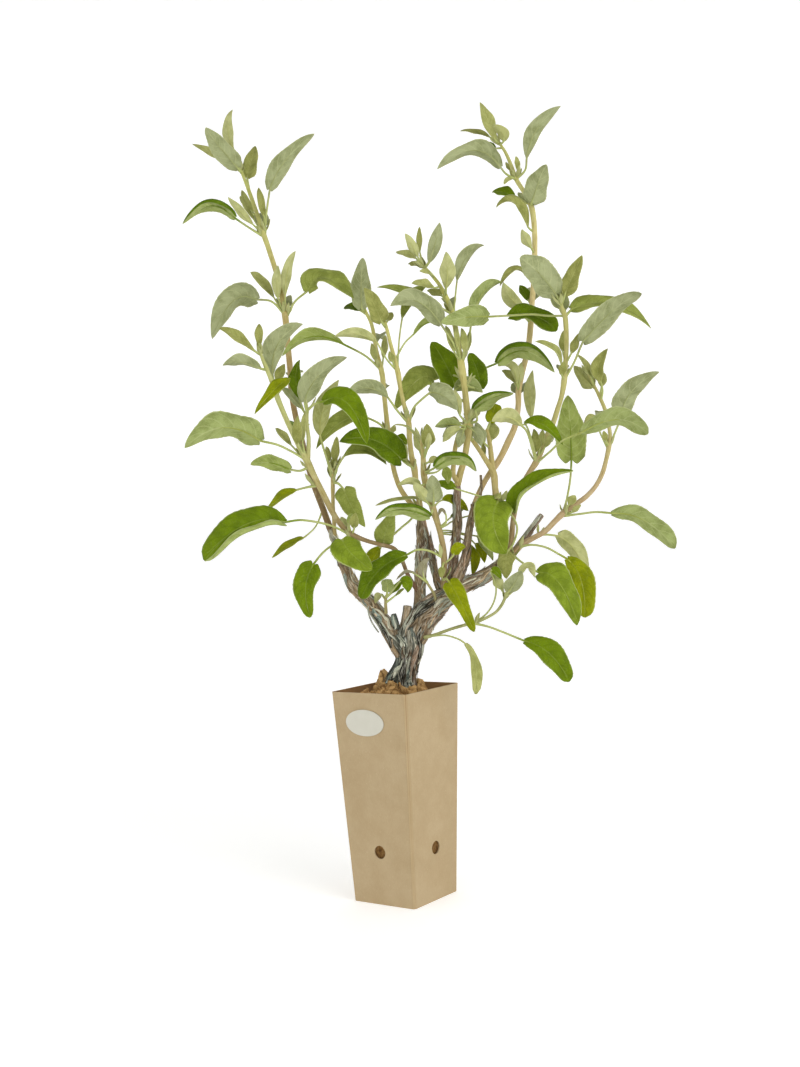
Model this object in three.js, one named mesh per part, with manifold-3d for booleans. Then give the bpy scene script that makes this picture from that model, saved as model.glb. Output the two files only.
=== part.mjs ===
// A potted phlomis: a woody, forked trunk with young felted shoots, in a square tapered carton pot.
// Millimetres, +Z up. The origin is the middle of the pot's underside, and its sides face X and Y.
import * as THREE from "three";
import { mergeVertices } from "three/addons/utils/BufferGeometryUtils.js";
import Module from "manifold-3d";

const wasm = await Module();
wasm.setup();

// Driving dimensions of the pot, its filling and its label
const potHeight = 200;
const potTopSide = 88;
const potFootSide = 71;
const potWall = 1.6;
const potCorner = 2.5;
const holeDiameter = 12.8;
const holeHeight = 50;
const soilClearance = 0.4;
const soilLevel = 193;
const soilCells = 7;
const soilDome = 40;
const labelWidth = 44;
const labelHeight = 25;
const labelThickness = 0.6;
const labelMiddleHeight = 172;
const labelShift = -5.5;
const seatGap = 0.3;
const largestChip = 2;

// Driving dimensions of the wood, stems and leaves
const woodSides = 6;
const twigSides = 4;
const twigRadius = 2;
const knobbiness = 0.1;
const stemSides = 5;
const bladeThickness = 0.8;
const stalkRadius = 0.95;
const youngStalkRadius = 0.75;
const fullLeaf = 15;
const broadLeaf = 12;
const tinyLeaf = 7;
const edgeWave = 0.1;
const waveTurns = 2.3;

// Places on the plant are read from one side: x to the right and z up on the upright plane through
// the pot's middle, then the depth behind that plane. The eye stands at eyeDistance and eyeHeight,
// so a place behind the plane spreads away from the line of sight.
const eyeDistance = 1335;
const eyeHeight = 365;
const eyeSide = 12.2;
const eyeTurn = THREE.MathUtils.degToRad(36.1);

function turned(x, y, z) {
  return new THREE.Vector3(x, y, z).applyAxisAngle(new THREE.Vector3(0, 0, 1), eyeTurn);
}

function seen([x, z, depth]) {
  const spread = 1 + depth / eyeDistance;
  return turned(eyeSide + (x - eyeSide) * spread, depth, eyeHeight + (z - eyeHeight) * spread);
}

const upwards = new THREE.Vector3(0, 0, 1);
const inwards = turned(0, 1, 0);

// Solids

function solidOf(geometry) {
  const bare = geometry.clone();
  bare.deleteAttribute("normal");
  bare.deleteAttribute("uv");
  const merged = mergeVertices(bare, 1e-4);
  return new wasm.Manifold(
    new wasm.Mesh({
      numProp: 3,
      vertProperties: new Float32Array(merged.attributes.position.array),
      triVerts: new Uint32Array(merged.index.array),
    }),
  );
}

function geometryOf(solid) {
  const { vertProperties, triVerts } = solid.getMesh();
  const geometry = new THREE.BufferGeometry();
  geometry.setAttribute("position", new THREE.BufferAttribute(vertProperties, 3));
  geometry.setIndex(new THREE.BufferAttribute(triVerts, 1));
  return geometry;
}

// The one body that a cut solid should be, without the chips that the cut leaves
function oneBody(solid) {
  const [body, ...chips] = solid.decompose().sort((a, b) => b.volume() - a.volume());
  if (chips.some((chip) => chip.volume() > largestChip)) throw new Error("a piece has come loose");
  return body;
}

// A round limb through points of x, z, depth and radius. It is a cylinder whose rings are laid
// along the points, and knobs swells and pinches it like old bark.
function limb(points, sides, knobs = 0) {
  const places = points.map(seen);
  const radii = points.map((point) => point[3]);
  const last = places.length - 1;
  const run = places[last].clone().sub(places[0]).normalize();
  const reference = Math.abs(run.dot(inwards)) > 0.8 ? upwards : inwards;
  const rings = places.map((place, i) => {
    const along = places[Math.min(i + 1, last)].clone().sub(places[Math.max(i - 1, 0)]).normalize();
    const across = reference.clone().addScaledVector(along, -reference.dot(along)).normalize();
    return { place, radius: radii[i], across, side: along.clone().cross(across) };
  });
  const geometry = new THREE.CylinderGeometry(1, 1, last, sides, last);
  const position = geometry.attributes.position;
  for (let i = 0; i < position.count; i += 1) {
    const step = Math.round(position.getY(i) + last / 2);
    const { place, radius, across, side } = rings[step];
    const angle = Math.atan2(position.getZ(i), position.getX(i));
    const swell = radius * (1 + knobs * Math.sin(3 * angle + 2.1 * step));
    const spot = place
      .clone()
      .addScaledVector(side, position.getX(i) * swell)
      .addScaledVector(across, position.getZ(i) * swell);
    position.setXYZ(i, spot.x, spot.y, spot.z);
  }
  return solidOf(geometry);
}

// Half widths of a blade, as shares of its widest, at shares of its length
const outlines = {
  heart: [[0.08, 0.82], [0.3, 1], [0.66, 0.68], [1, 0.07]],
  oval: [[0.12, 0.7], [0.36, 0.98], [0.72, 0.86], [1, 0.14]],
  young: [[0.36, 1], [0.72, 0.72], [1, 0.12]],
  bud: [[0.45, 1], [1, 0.2]],
};

// The way a blade's upper side faces, from its tilt towards the eye and its lean to the right
function facing(tilt, lean) {
  const t = THREE.MathUtils.degToRad(tilt);
  const l = THREE.MathUtils.degToRad(lean);
  return turned(Math.sin(l), -Math.sin(t) * Math.cos(l), Math.cos(t) * Math.cos(l));
}

// The closed skin of a thin strip. Each row holds its points from left to right, an upper and an
// under one at each, and both faces are split into triangles alike. A row may widen the one before
// it from two points to three.
function strip(rows) {
  const starts = rows.map((row, i) => 2 * rows.slice(0, i).flat().length);
  const at = ([row, column], under) => starts[row] + 2 * column + under;
  const faces = [];
  const both = (a, b, c) => faces.push(at(a, 0), at(b, 0), at(c, 0), at(a, 1), at(c, 1), at(b, 1));
  const wall = (a, b) => faces.push(at(a, 0), at(a, 1), at(b, 1), at(a, 0), at(b, 1), at(b, 0));
  const last = rows.length - 1;
  for (let row = 0; row < last; row += 1) {
    const edge = rows[row].length - 1;
    const nextEdge = rows[row + 1].length - 1;
    for (let column = 0; column < edge; column += 1) {
      both([row, column], [row, column + 1], [row + 1, column + 1]);
      both([row, column], [row + 1, column + 1], [row + 1, column]);
    }
    if (nextEdge > edge) both([row, edge], [row + 1, nextEdge], [row + 1, edge]);
    wall([row + 1, 0], [row, 0]);
    wall([row, edge], [row + 1, nextEdge]);
  }
  for (let column = 0; column < rows[0].length - 1; column += 1) wall([0, column], [0, column + 1]);
  for (let column = rows[last].length - 1; column > 0; column -= 1) wall([last, column], [last, column - 1]);
  const geometry = new THREE.BufferGeometry().setFromPoints(rows.flat(2));
  geometry.setIndex(faces);
  return solidOf(geometry);
}

// One leaf: stalk points, then the blade's middle and tip, its width, tilt, fold, outline and lean.
// It is one strip, as wide and thick as the stalk up to the blade, which follows an arched midrib.
function leaf([stalk, [middle, tip], width, tilt, fold, outline = "heart", lean = 0]) {
  const stalkPlaces = stalk.map(seen);
  const base = stalkPlaces[stalkPlaces.length - 1];
  const [centre, end] = [seen(middle), seen(tip)];
  const control = centre.clone().multiplyScalar(2).addScaledVector(base, -0.5).addScaledVector(end, -0.5);
  const midrib = new THREE.QuadraticBezierCurve3(base, control, end);
  const up = facing(tilt, lean);
  const bend = THREE.MathUtils.degToRad(fold);
  const edges = [-1, 1];
  const columns = width > broadLeaf ? [-1, 0, 1] : edges;
  const small = width > tinyLeaf ? "young" : "bud";
  const shape = width > fullLeaf ? outline : small;
  const radius = width > broadLeaf ? stalkRadius : youngStalkRadius;

  const row = (across, place, along, half, thickness, turn, wave) => {
    const over = up.clone().addScaledVector(along, -up.dot(along)).normalize();
    const right = along.clone().cross(over);
    const lift = thickness / 2 / Math.cos(turn);
    return across.map((column) => {
      const reach = column * half;
      const height = Math.abs(reach) * Math.sin(turn) + wave * reach;
      const spot = place.clone().addScaledVector(right, reach * Math.cos(turn));
      return [spot.clone().addScaledVector(over, height + lift), spot.addScaledVector(over, height - lift)];
    });
  };

  const rows = stalkPlaces.map((place, i) => {
    const next = stalkPlaces[i + 1] ?? midrib.getPoint(0.1);
    const before = stalkPlaces[i - 1] ?? place;
    return row(edges, place, next.clone().sub(before).normalize(), radius, 2 * radius, 0, 0);
  });
  for (const [share, half] of outlines[shape]) {
    const wave = edgeWave * Math.sin(waveTurns * 2 * Math.PI * share);
    const [place, along] = [midrib.getPoint(share), midrib.getTangent(share)];
    rows.push(row(columns, place, along, (half * width) / 2, bladeThickness, bend, wave));
  }
  return strip(rows);
}

// Pot, with a chamfered square section that widens upwards, a floor and a round hole in each side

const widening = (potTopSide - potFootSide) / 2 / potHeight;
const wallLean = Math.atan(widening);

function taperedBlock(side, foot, top, corner) {
  const half = side / 2;
  const outline = new THREE.Shape([
    new THREE.Vector2(half - corner, -half),
    new THREE.Vector2(half, -half + corner),
    new THREE.Vector2(half, half - corner),
    new THREE.Vector2(half - corner, half),
    new THREE.Vector2(-half + corner, half),
    new THREE.Vector2(-half, half - corner),
    new THREE.Vector2(-half, -half + corner),
    new THREE.Vector2(-half + corner, -half),
  ]);
  const geometry = new THREE.ExtrudeGeometry(outline, { depth: top - foot, bevelEnabled: false });
  geometry.translate(0, 0, foot);
  const position = geometry.attributes.position;
  for (let i = 0; i < position.count; i += 1) {
    const scale = (half + widening * (position.getZ(i) - potHeight)) / half;
    position.setXY(i, position.getX(i) * scale, position.getY(i) * scale);
  }
  return solidOf(geometry);
}

function pot() {
  const outside = taperedBlock(potTopSide, 0, potHeight, potCorner);
  const inside = taperedBlock(potTopSide - 2 * potWall, potWall, potHeight + 1, potCorner - potWall / 2);
  const alongX = new THREE.CylinderGeometry(holeDiameter / 2, holeDiameter / 2, potTopSide, 12);
  alongX.rotateZ(Math.PI / 2);
  alongX.translate(0, 0, holeHeight);
  const alongY = new THREE.CylinderGeometry(holeDiameter / 2, holeDiameter / 2, potTopSide, 12);
  alongY.translate(0, 0, holeHeight);
  return outside.subtract(inside).subtract(solidOf(alongX)).subtract(solidOf(alongY));
}

function label() {
  const oval = new THREE.Shape();
  oval.absellipse(0, 0, labelWidth / 2, labelHeight / 2, 0, 2 * Math.PI);
  const geometry = new THREE.ExtrudeGeometry(oval, {
    depth: labelThickness,
    bevelEnabled: false,
    curveSegments: 20,
  });
  geometry.rotateX(Math.PI / 2 + wallLean);
  const sideAt = potTopSide / 2 + widening * (labelMiddleHeight - potHeight);
  geometry.translate(labelShift, -sideAt - seatGap, labelMiddleHeight);
  return solidOf(geometry);
}

// Soil: it fills the pot, with a lumpy top, from lumps of x, z, depth, height and spread
const soilLumps = [
  [-10, 200, 14, 24, 9],
  [-6, 200, -14, 13, 13],
  [4, 200, -30, 7, 12],
  [22, 200, 8, 17, 8],
  [20, 200, -12, 9, 9],
  [-22, 200, -6, 6, 12],
  [12, 200, 26, 8, 12],
];

function soil(plug) {
  const inside = potTopSide - 2 * potWall - 2 * soilClearance;
  const geometry = new THREE.BoxGeometry(1, 1, 1, soilCells, soilCells, 1);
  const position = geometry.attributes.position;
  const lumps = soilLumps.map((lump) => ({ at: seen(lump), height: lump[3], spread: lump[4] }));
  const floor = potWall + soilClearance;
  for (let i = 0; i < position.count; i += 1) {
    const top = position.getZ(i) > 0;
    const x = position.getX(i);
    const y = position.getY(i);
    let z = floor;
    if (top) {
      z = soilLevel + 1.6 * Math.sin(31 * x) * Math.cos(27 * y) - 26 * Math.max(x * x, y * y);
      for (const { at, height, spread } of lumps) {
        const away = Math.hypot(x * inside - at.x, y * inside - at.y);
        z += height * Math.exp(-((away / spread) ** 2));
      }
    }
    position.setXYZ(i, x * inside, y * inside, z);
  }
  const room = taperedBlock(inside, floor, potHeight + soilDome, potCorner - potWall / 2);
  return oneBody(solidOf(geometry).intersect(room).subtract(plug));
}

// Wood: the old limbs, each a list of x, z, depth and radius, all grown together as one body
const wood = [
  [[8, 172, 0, 9], [9, 190, 0, 11], [8, 204, 0, 12], [11, 214, 0, 10], [14, 224, 0, 9.8],
    [17, 235, 0, 11.6], [16, 246, 0, 14], [17, 256, 1, 12]],
  [[-7, 203, -6, 3.4], [-2, 211, -5, 4.4], [5, 221, -3, 5], [9, 232, -2, 5]],
  [[12, 220, 0, 6], [7, 236, 0, 8], [-1, 252, 0, 7.8], [-8, 264, 0, 6.8], [-16, 277, 1, 6],
    [-26, 289, 2, 5.8], [-35, 300, 3, 6], [-45, 326, 6, 3.6], [-49, 340, 8, 3.3], [-54, 354, 10, 3.3]],
  [[20, 244, 0, 11], [30, 261, 0, 11.5], [42, 273, 0, 10], [54, 284, 0, 8.6], [66, 292, 2, 7.2],
    [80, 297, 4, 6.6], [103, 310, 6, 4.8], [114, 319, 6, 4]],
  [[25, 262, 4, 6.5], [28, 283, 4, 5], [29, 300, 4, 5], [31, 318, 4, 5.2], [33, 335, 4, 4.9],
    [33, 350, 4, 4.2], [33, 362, 4, 3.4]],
  [[49, 284, 4, 3.2], [46, 296, 6, 2.9], [43, 312, 9, 2.7], [41, 326, 11, 2.7], [38, 342, 13, 2.5],
    [35, 357, 14, 2.4]],
  [[55, 288, 5, 4.4], [60, 310, 7, 4.4], [64, 330, 8, 4], [67, 350, 8, 3.9], [68, 370, 6, 3.5],
    [69, 389, 4, 3.2]],
  [[60, 290, -2, 5.4], [67, 306, -5, 4.7], [74, 322, -5, 3.7], [77, 340, -4, 3.1], [81, 358, 0, 3],
    [85, 371, 3, 2.9]],
  [[11, 252, -5, 4.4], [14, 265, -8, 3.8], [16, 277, -9, 3.3]],
  [[4, 256, -5, 3.2], [2, 270, -7, 1.8]],
  [[113, 315, 6, 3.2], [128, 332, 11, 2.7], [148, 357, 18, 2.5]],
  [[84, 369, 3, 1.9], [91, 380, 6, 1.5], [92, 398, 8, 1.3]],
  [[-20, 283, -1, 1.2], [-22, 274, -4, 0.8], [-19, 263, -6, 0.8], [-13, 253, -7, 0.7]],
];
// The trunk, or the room it takes when all its limbs are made thicker and longer by grow
function trunk(grow = 0) {
  const limbs = wood.map((points) => {
    const thick = points.map(([x, z, depth, radius]) => [x, z, depth, radius + grow]);
    const [before, end] = thick.slice(-2);
    const stretch = grow / Math.hypot(end[0] - before[0], end[1] - before[1], end[2] - before[2]);
    const longer = end.map((value, i) => value + (i < 3 ? value - before[i] : 0) * stretch);
    const twig = points[0][3] < twigRadius;
    return limb([...thick.slice(0, -1), longer], twig ? twigSides : woodSides, twig ? 0 : knobbiness);
  });
  return wasm.Manifold.union(limbs);
}

// Shoots: each has stems of x, z, depth and radius, and leaves as the leaf function reads them
const shoots = {
  shoot_left_tall: {
    stems: [
      [[-54, 354, 10, 3.2], [-60, 374, 14, 3], [-66, 393, 18, 2.9], [-71, 412, 21, 2.9],
        [-76, 437, 26, 2.8], [-81, 462, 31, 2.7], [-84, 485, 36, 2.7], [-84, 505, 40, 2.7],
        [-85, 530, 46, 2.8], [-86, 558, 52, 3], [-90, 590, 60, 2.6], [-98, 622, 69, 2.4],
        [-102, 636, 73, 2.6], [-108, 658, 80, 2.1], [-115, 682, 87, 1.8], [-121, 700, 93, 1.4]],
    ],
    leaves: [
      [[[-120, 696, 92], [-124, 702, 87]], [[-141, 723, 81], [-152, 741, 76]], 21, -70, 15],
      [[[-114, 680, 86], [-115, 692, 96]], [[-110, 707, 105], [-106, 723, 118]], 17, 80, 25],
      [[[-121, 699, 92], [-127, 721, 104]], [[-133, 739, 114], [-126, 756, 127]], 9, -60, 30],
      [[[-121, 698, 92], [-127, 706, 102]], [[-145, 716, 110], [-166, 727, 124]], 9, 60, 20],
      [[[-101, 638, 74], [-99, 655, 71], [-94, 680, 70]], [[-79, 709, 70], [-49, 730, 68]], 17, -60, 20],
      [[[-104, 636, 73], [-117, 645, 69], [-130, 655, 65]], [[-153, 669, 62], [-181, 651, 47]], 18, -40, 25],
      [[[-106, 641, 74], [-112, 647, 65]], [[-124, 661, 61], [-134, 674, 61]], 8, -60, 20],
      [[[-106, 643, 75], [-111, 652, 86]], [[-117, 667, 95], [-121, 681, 104]], 8, 60, 20],
      [[[-102, 640, 74], [-101, 654, 71]], [[-103, 668, 71], [-105, 682, 72]], 7, 70, 20],
      [[[-86, 559, 53], [-98, 573, 48], [-113, 576, 41]], [[-137, 579, 34], [-156, 542, 15]], 25, -50, 20],
      [[[-87, 561, 53], [-92, 576, 48]], [[-93, 592, 48], [-90, 607, 49]], 10, -60, 20],
      [[[-88, 562, 53], [-96, 577, 64]], [[-107, 594, 73], [-117, 603, 80]], 9, 50, 20],
      [[[-86, 562, 53], [-85, 578, 49]], [[-83, 602, 48], [-73, 620, 47]], 8, -60, 25],
      [[[-84, 559, 53], [-76, 572, 48], [-63, 582, 42]], [[-43, 597, 38], [-20, 572, 19]], 23, 50, 15],
      [[[-85, 558, 53], [-86, 566, 71]], [[-87, 575, 97], [-90, 570, 125]], 19, 10, 20],
      [[[-101, 636, 73], [-103, 645, 92]], [[-106, 656, 120], [-110, 656, 147]], 17, 10, 20],
      [[[-84, 498, 39], [-82, 501, 58]], [[-79, 505, 82], [-77, 500, 107]], 18, 10, 20],
      [[[-77, 442, 27], [-77, 448, 47]], [[-79, 456, 74], [-84, 450, 99]], 19, 10, 20],
      [[[-60, 373, 14], [-68, 357, 20], [-80, 347, 28]], [[-94, 341, 35], [-112, 330, 41]], 12, 40, 25],
    ],
  },
  shoot_left_front: {
    stems: [
      [[26, 291, 2, 2.2], [21, 300, -4, 2], [17, 308, -8, 1.9], [13, 320, -12, 1.9], [6, 332, -17, 1.9],
        [-8, 337, -21, 1.9], [-22, 342, -26, 2], [-34, 348, -30, 2.6], [-43, 357, -32, 2.5],
        [-51, 370, -35, 2.6], [-59, 388, -38, 2.6], [-66, 404, -41, 2.7], [-73, 421, -44, 3.1],
        [-80, 436, -47, 2.5], [-88, 455, -50, 2.3], [-94, 471, -54, 2.2], [-98, 483, -56, 2.5],
        [-103, 500, -60, 2], [-109, 517, -64, 1.6], [-112, 526, -66, 1.2]],
      [[-72, 419, -43, 2.1], [-70, 440, -48, 1.8], [-71, 455, -52, 1.7], [-70, 469, -55, 1.6]],
    ],
    leaves: [
      [[[-112, 524, -66], [-117, 527, -72]], [[-134, 543, -85], [-149, 551, -94]], 11, 60, 20],
      [[[-112, 524, -66], [-112, 532, -63]], [[-112, 543, -63], [-111, 553, -62]], 7, 70, 20],
      [[[-107, 509, -61], [-112, 510, -71]], [[-130, 518, -81], [-149, 516, -89]], 15, -40, 30],
      [[[-99, 485, -57], [-101, 504, -53]], [[-98, 537, -52], [-70, 551, -48]], 15, -60, 20],
      [[[-98, 485, -57], [-85, 499, -72]], [[-99, 490, -82], [-121, 468, -84]], 14, 60, 20],
      [[[-76, 423, -44], [-98, 436, -57], [-117, 442, -69]],
        [[-152, 462, -82], [-190, 439, -89]], 24, -55, 18],
      [[[-75, 424, -44], [-80, 436, -55]], [[-81, 449, -63], [-79, 463, -70]], 10, 80, 20],
      [[[-77, 424, -44], [-87, 436, -42]], [[-94, 446, -40], [-101, 453, -39]], 6, 60, 20],
      [[[-72, 414, -42], [-80, 411, -36], [-90, 413, -29]],
        [[-107, 421, -23], [-126, 422, -18]], 19, -50, 15],
      [[[-65, 396, -39], [-74, 395, -32], [-84, 393, -25]], [[-99, 387, -21], [-117, 374, -14]], 14, 45, 20],
      [[[-70, 466, -55], [-72, 477, -62]], [[-60, 503, -72], [-30, 520, -79]], 19, -60, 25],
      [[[-70, 468, -55], [-62, 474, -65], [-53, 476, -73]], [[-26, 476, -82], [-14, 434, -87]], 17, 70, 25],
      [[[-70, 458, -53], [-77, 480, -44]], [[-81, 499, -39], [-75, 517, -36]], 9, 60, 20],
      [[[-98, 482, -56], [-97, 495, -48]], [[-94, 505, -44], [-89, 514, -40]], 8, 60, 20],
      [[[-70, 462, -53], [-75, 470, -44]], [[-83, 482, -38], [-93, 491, -34]], 10, -60, 20],
      [[[-36, 348, -30], [-55, 358, -44], [-80, 364, -58], [-98, 363, -68]],
        [[-136, 366, -82], [-178, 332, -91]], 27, 60, 12, "oval"],
      [[[-35, 346, -30], [-48, 341, -37], [-61, 333, -43], [-72, 321, -47]],
        [[-84, 298, -52], [-77, 271, -55]], 21, 75, 15],
      [[[-36, 347, -30], [-43, 343, -43]], [[-37, 329, -57], [-17, 312, -63]], 27, 65, 15],
      [[[-35, 349, -30], [-38, 354, -26]], [[-41, 360, -22], [-43, 365, -20]], 6, -60, 20],
      [[[-33, 349, -30], [-31, 354, -39]], [[-31, 361, -45], [-29, 368, -48]], 8, 80, 25],
      [[[-9, 337, -21], [-7, 334, -11]], [[-15, 324, -1], [-29, 302, 5]], 15, 65, 20],
    ],
  },
  shoot_left_thin: {
    stems: [
      [[-50, 346, 8, 1.9], [-50, 358, 2, 1.8], [-50, 380, -6, 1.7], [-49, 401, -12, 2],
        [-48, 412, -15, 1.5]],
    ],
    leaves: [
      [[[-49, 400, -11], [-53, 418, -19], [-57, 434, -24], [-59, 444, -25]],
        [[-57, 469, -29], [-38, 496, -36]], 15, -60, 20],
      [[[-49, 405, -12], [-47, 416, -13]], [[-45, 429, -13], [-43, 442, -12]], 7, 70, 20],
      [[[-48, 403, -12], [-44, 413, -20], [-37, 423, -26]], [[-16, 430, -26], [4, 413, -19]], 14, 55, 20],
      [[[-49, 398, -11], [-44, 397, -17], [-39, 391, -20]], [[-34, 376, -25], [-21, 354, -30]], 21, 75, 18],
    ],
  },
  shoot_centre_inner: {
    stems: [
      [[35, 357, 14, 2.4], [28, 369, 12, 2.3], [20, 380, 8, 2.4], [14, 391, 6, 2.4], [10, 405, 5, 2.3],
        [8, 420, 6, 2.2], [6, 440, 9, 2.6], [5, 460, 12, 2.3], [4, 480, 16, 2.2], [3, 500, 19, 2.6],
        [-1, 520, 24, 2], [-4, 545, 31, 1.7], [-9, 558, 35, 1.6], [-13, 568, 38, 1.3]],
    ],
    leaves: [
      [[[-10, 558, 35], [-13, 563, 31]], [[-13, 588, 34], [-8, 610, 32]], 20, -75, 15],
      [[[-12, 564, 37], [-18, 574, 49]], [[-29, 589, 60], [-40, 599, 69]], 8, 60, 20],
      [[[-8, 556, 34], [-14, 560, 47]], [[-22, 565, 58], [-31, 564, 64]], 13, 60, 20],
      [[[2, 503, 20], [-12, 517, 16], [-32, 529, 11]], [[-63, 540, 6], [-92, 521, -6]], 14, -40, 20],
      [[[3, 503, 20], [5, 514, 29]], [[7, 525, 35], [8, 536, 40]], 6, 80, 20],
      [[[5, 441, 9], [-1, 451, 5], [-13, 458, 0]], [[-39, 460, 2], [-64, 432, -4]], 14, 65, 20],
      [[[6, 438, 9], [13, 438, 7]], [[19, 436, 8], [24, 431, 9]], 9, 60, 20],
      [[[4, 482, 16], [4, 485, 34]], [[0, 488, 59], [-6, 483, 84]], 16, 10, 20],
      [[[-2, 524, 26], [0, 530, 44]], [[3, 537, 67], [5, 533, 89]], 14, 10, 20],
      [[[8, 416, 6], [8, 420, 26]], [[6, 425, 53], [2, 421, 78]], 19, 10, 20],
    ],
  },
  shoot_centre_left: {
    stems: [
      [[33, 362, 4, 3.2], [32, 378, 2, 2.6], [30, 395, -1, 2.6], [29, 408, -2, 3], [27, 420, -5, 2.6],
        [26, 435, -8, 2.4], [26, 451, -10, 2.6], [23, 466, -13, 2], [20, 483, -16, 2], [18, 501, -19, 2.4],
        [13, 525, -21, 1.7], [9, 545, -23, 1.6], [5, 556, -25, 1.3]],
    ],
    leaves: [
      [[[9, 543, -23], [5, 549, -31]], [[-1, 566, -40], [-8, 581, -48]], 18, 75, 20],
      [[[8, 546, -23], [11, 549, -16]], [[13, 553, -13], [16, 557, -12]], 7, 70, 20],
      [[[18, 503, -19], [21, 530, -14], [25, 551, -9]], [[34, 570, -3], [50, 581, 1]], 12, 50, 30],
      [[[17, 513, -19], [26, 527, -16], [35, 535, -14]], [[52, 548, -11], [68, 543, -7]], 12, -30, 25],
      [[[16, 503, -19], [8, 513, -27], [0, 529, -35]], [[-18, 540, -42], [-41, 537, -48]], 8, -50, 20],
      [[[25, 452, -10], [16, 463, -20], [7, 477, -28]], [[-11, 489, -37], [-33, 481, -44]], 15, -50, 20],
      [[[29, 406, -2], [24, 412, -13], [17, 417, -22]], [[-8, 440, -36], [-41, 438, -44]], 27, 65, 15],
      [[[28, 409, -3], [22, 412, 5]], [[18, 426, 10], [20, 441, 14]], 8, -80, 20],
      [[[32, 372, 3], [24, 360, -6], [14, 352, -13], [4, 344, -15], [-4, 338, -16]],
        [[-1, 352, -19], [8, 367, -19]], 19, 85, 15],
      [[[27, 453, -10], [32, 466, -17], [48, 479, -28]], [[62, 477, -35], [73, 461, -37]], 20, -70, 25],
    ],
  },
  shoot_centre_pale: {
    stems: [
      [[50, 284, -2, 2.8], [52, 305, -11, 2.6], [53, 321, -16, 3], [52, 336, -19, 2.6], [49, 352, -21, 2.7],
        [45, 368, -25, 3.1], [41, 382, -27, 2.8], [38, 400, -30, 3], [38, 412, -33, 2.5],
        [38, 425, -35, 2.1], [37, 437, -38, 1.6]],
    ],
    leaves: [
      [[[51, 300, -10], [54, 301, -18], [57, 297, -22]],
        [[66, 281, -29], [78, 249, -33]], 19, 80, 15, "oval"],
      [[[52, 321, -16], [40, 328, -23], [28, 330, -28], [16, 325, -30]],
        [[-12, 314, -33], [-27, 286, -33]], 19, 60, 18, "oval"],
      [[[45, 370, -25], [41, 361, -32]], [[13, 372, -46], [-11, 361, -55]], 17, -55, 18],
      [[[44, 374, -26], [36, 379, -21]], [[14, 379, -27], [-10, 375, -31]], 7, 20, 20],
      [[[44, 370, -25], [40, 374, -35]], [[34, 385, -42], [27, 395, -48]], 11, -60, 20],
      [[[45, 370, -25], [46, 376, -37]], [[46, 389, -43], [46, 401, -46]], 18, -80, 20],
      [[[39, 392, -29], [34, 391, -37]], [[26, 396, -41], [12, 393, -45]], 6, -50, 20],
      [[[39, 403, -31], [44, 405, -40], [50, 408, -49]], [[71, 419, -60], [90, 402, -67]], 17, -55, 18],
      [[[39, 419, -34], [42, 427, -42]], [[44, 438, -47], [43, 449, -51]], 14, 75, 25],
      [[[38, 416, -34], [35, 424, -29]], [[33, 432, -28], [31, 441, -28]], 6, -70, 20],
      [[[38, 402, -31], [50, 403, -26], [57, 408, -25]], [[60, 401, -24], [61, 391, -24]], 10, 60, 20],
      [[[51, 347, -21], [57, 347, -2], [62, 346, 16], [77, 342, 17], [85, 340, 14]],
        [[93, 333, 11], [100, 316, 11]], 9, -60, 20],
      [[[52, 344, -20], [58, 343, -1], [66, 341, 21], [80, 331, 21]],
        [[83, 317, 19], [79, 303, 18]], 8, 75, 25],
      [[[51, 345, -20], [57, 345, 0], [64, 344, 23], [75, 341, 23], [83, 333, 22]],
        [[90, 326, 20], [91, 314, 19]], 8, 75, 20],
      [[[53, 316, -15], [58, 319, -20], [62, 323, -23]], [[66, 330, -26], [74, 331, -28]], 11, 70, 20],
      [[[46, 370, -25], [50, 374, -13], [54, 376, -3]], [[66, 376, 10], [79, 364, 19]], 10, 65, 20],
      [[[50, 349, -21], [57, 352, -2], [62, 355, 16], [75, 359, 14], [83, 360, 11]],
        [[92, 364, 8], [100, 366, 5]], 8, -40, 20],
    ],
  },
  shoot_centre_main: {
    stems: [
      [[69, 389, 4, 3.2], [73, 402, 1, 3], [77, 413, 0, 2.9], [80, 427, -3, 2.9], [83, 445, -4, 3.4],
        [82, 462, -7, 3], [81, 480, -8, 2.9], [79, 503, -9, 3.3], [77, 520, -10, 2.6],
        [75, 540, -10, 2.4], [71, 560, -10, 2.3], [64, 577, -10, 1.9], [57, 588, -10, 1.6],
        [47, 600, -11, 1.3]],
      [[70, 392, 3, 2.4], [66, 400, -4, 2.4], [67, 412, -9, 2.2], [69, 425, -10, 2.2], [73, 437, -10, 2.2],
        [80, 447, -5, 2]],
    ],
    leaves: [
      [[[49, 598, -11], [53, 602, -17]], [[61, 621, -22], [65, 640, -28]], 13, -60, 20],
      [[[47, 600, -11], [43, 608, -17]], [[38, 620, -20], [32, 631, -22]], 8, -60, 20],
      [[[47, 599, -11], [41, 607, -4]], [[31, 612, 3], [22, 615, 8]], 9, 50, 20],
      [[[50, 597, -11], [44, 600, 0]], [[39, 602, 4], [33, 603, 8]], 7, 60, 20],
      [[[67, 570, -10], [68, 577, -19]], [[71, 594, -27], [70, 612, -33]], 15, -70, 20],
      [[[63, 579, -10], [57, 578, -19]], [[47, 583, -24], [36, 584, -29]], 8, 60, 20],
      [[[69, 563, -10], [64, 570, 0]], [[57, 574, 7], [50, 577, 12]], 10, 60, 20],
      [[[78, 506, -9], [73, 523, -19], [61, 544, -28]], [[41, 571, -36], [12, 564, -44]], 17, -55, 20],
      [[[74, 552, -9], [77, 572, -2], [79, 584, 2]], [[88, 608, 8], [106, 617, 14]], 12, -50, 25],
      [[[80, 506, -9], [86, 522, -2], [91, 546, 4]], [[102, 573, 12], [121, 581, 19]], 14, -40, 30],
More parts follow.
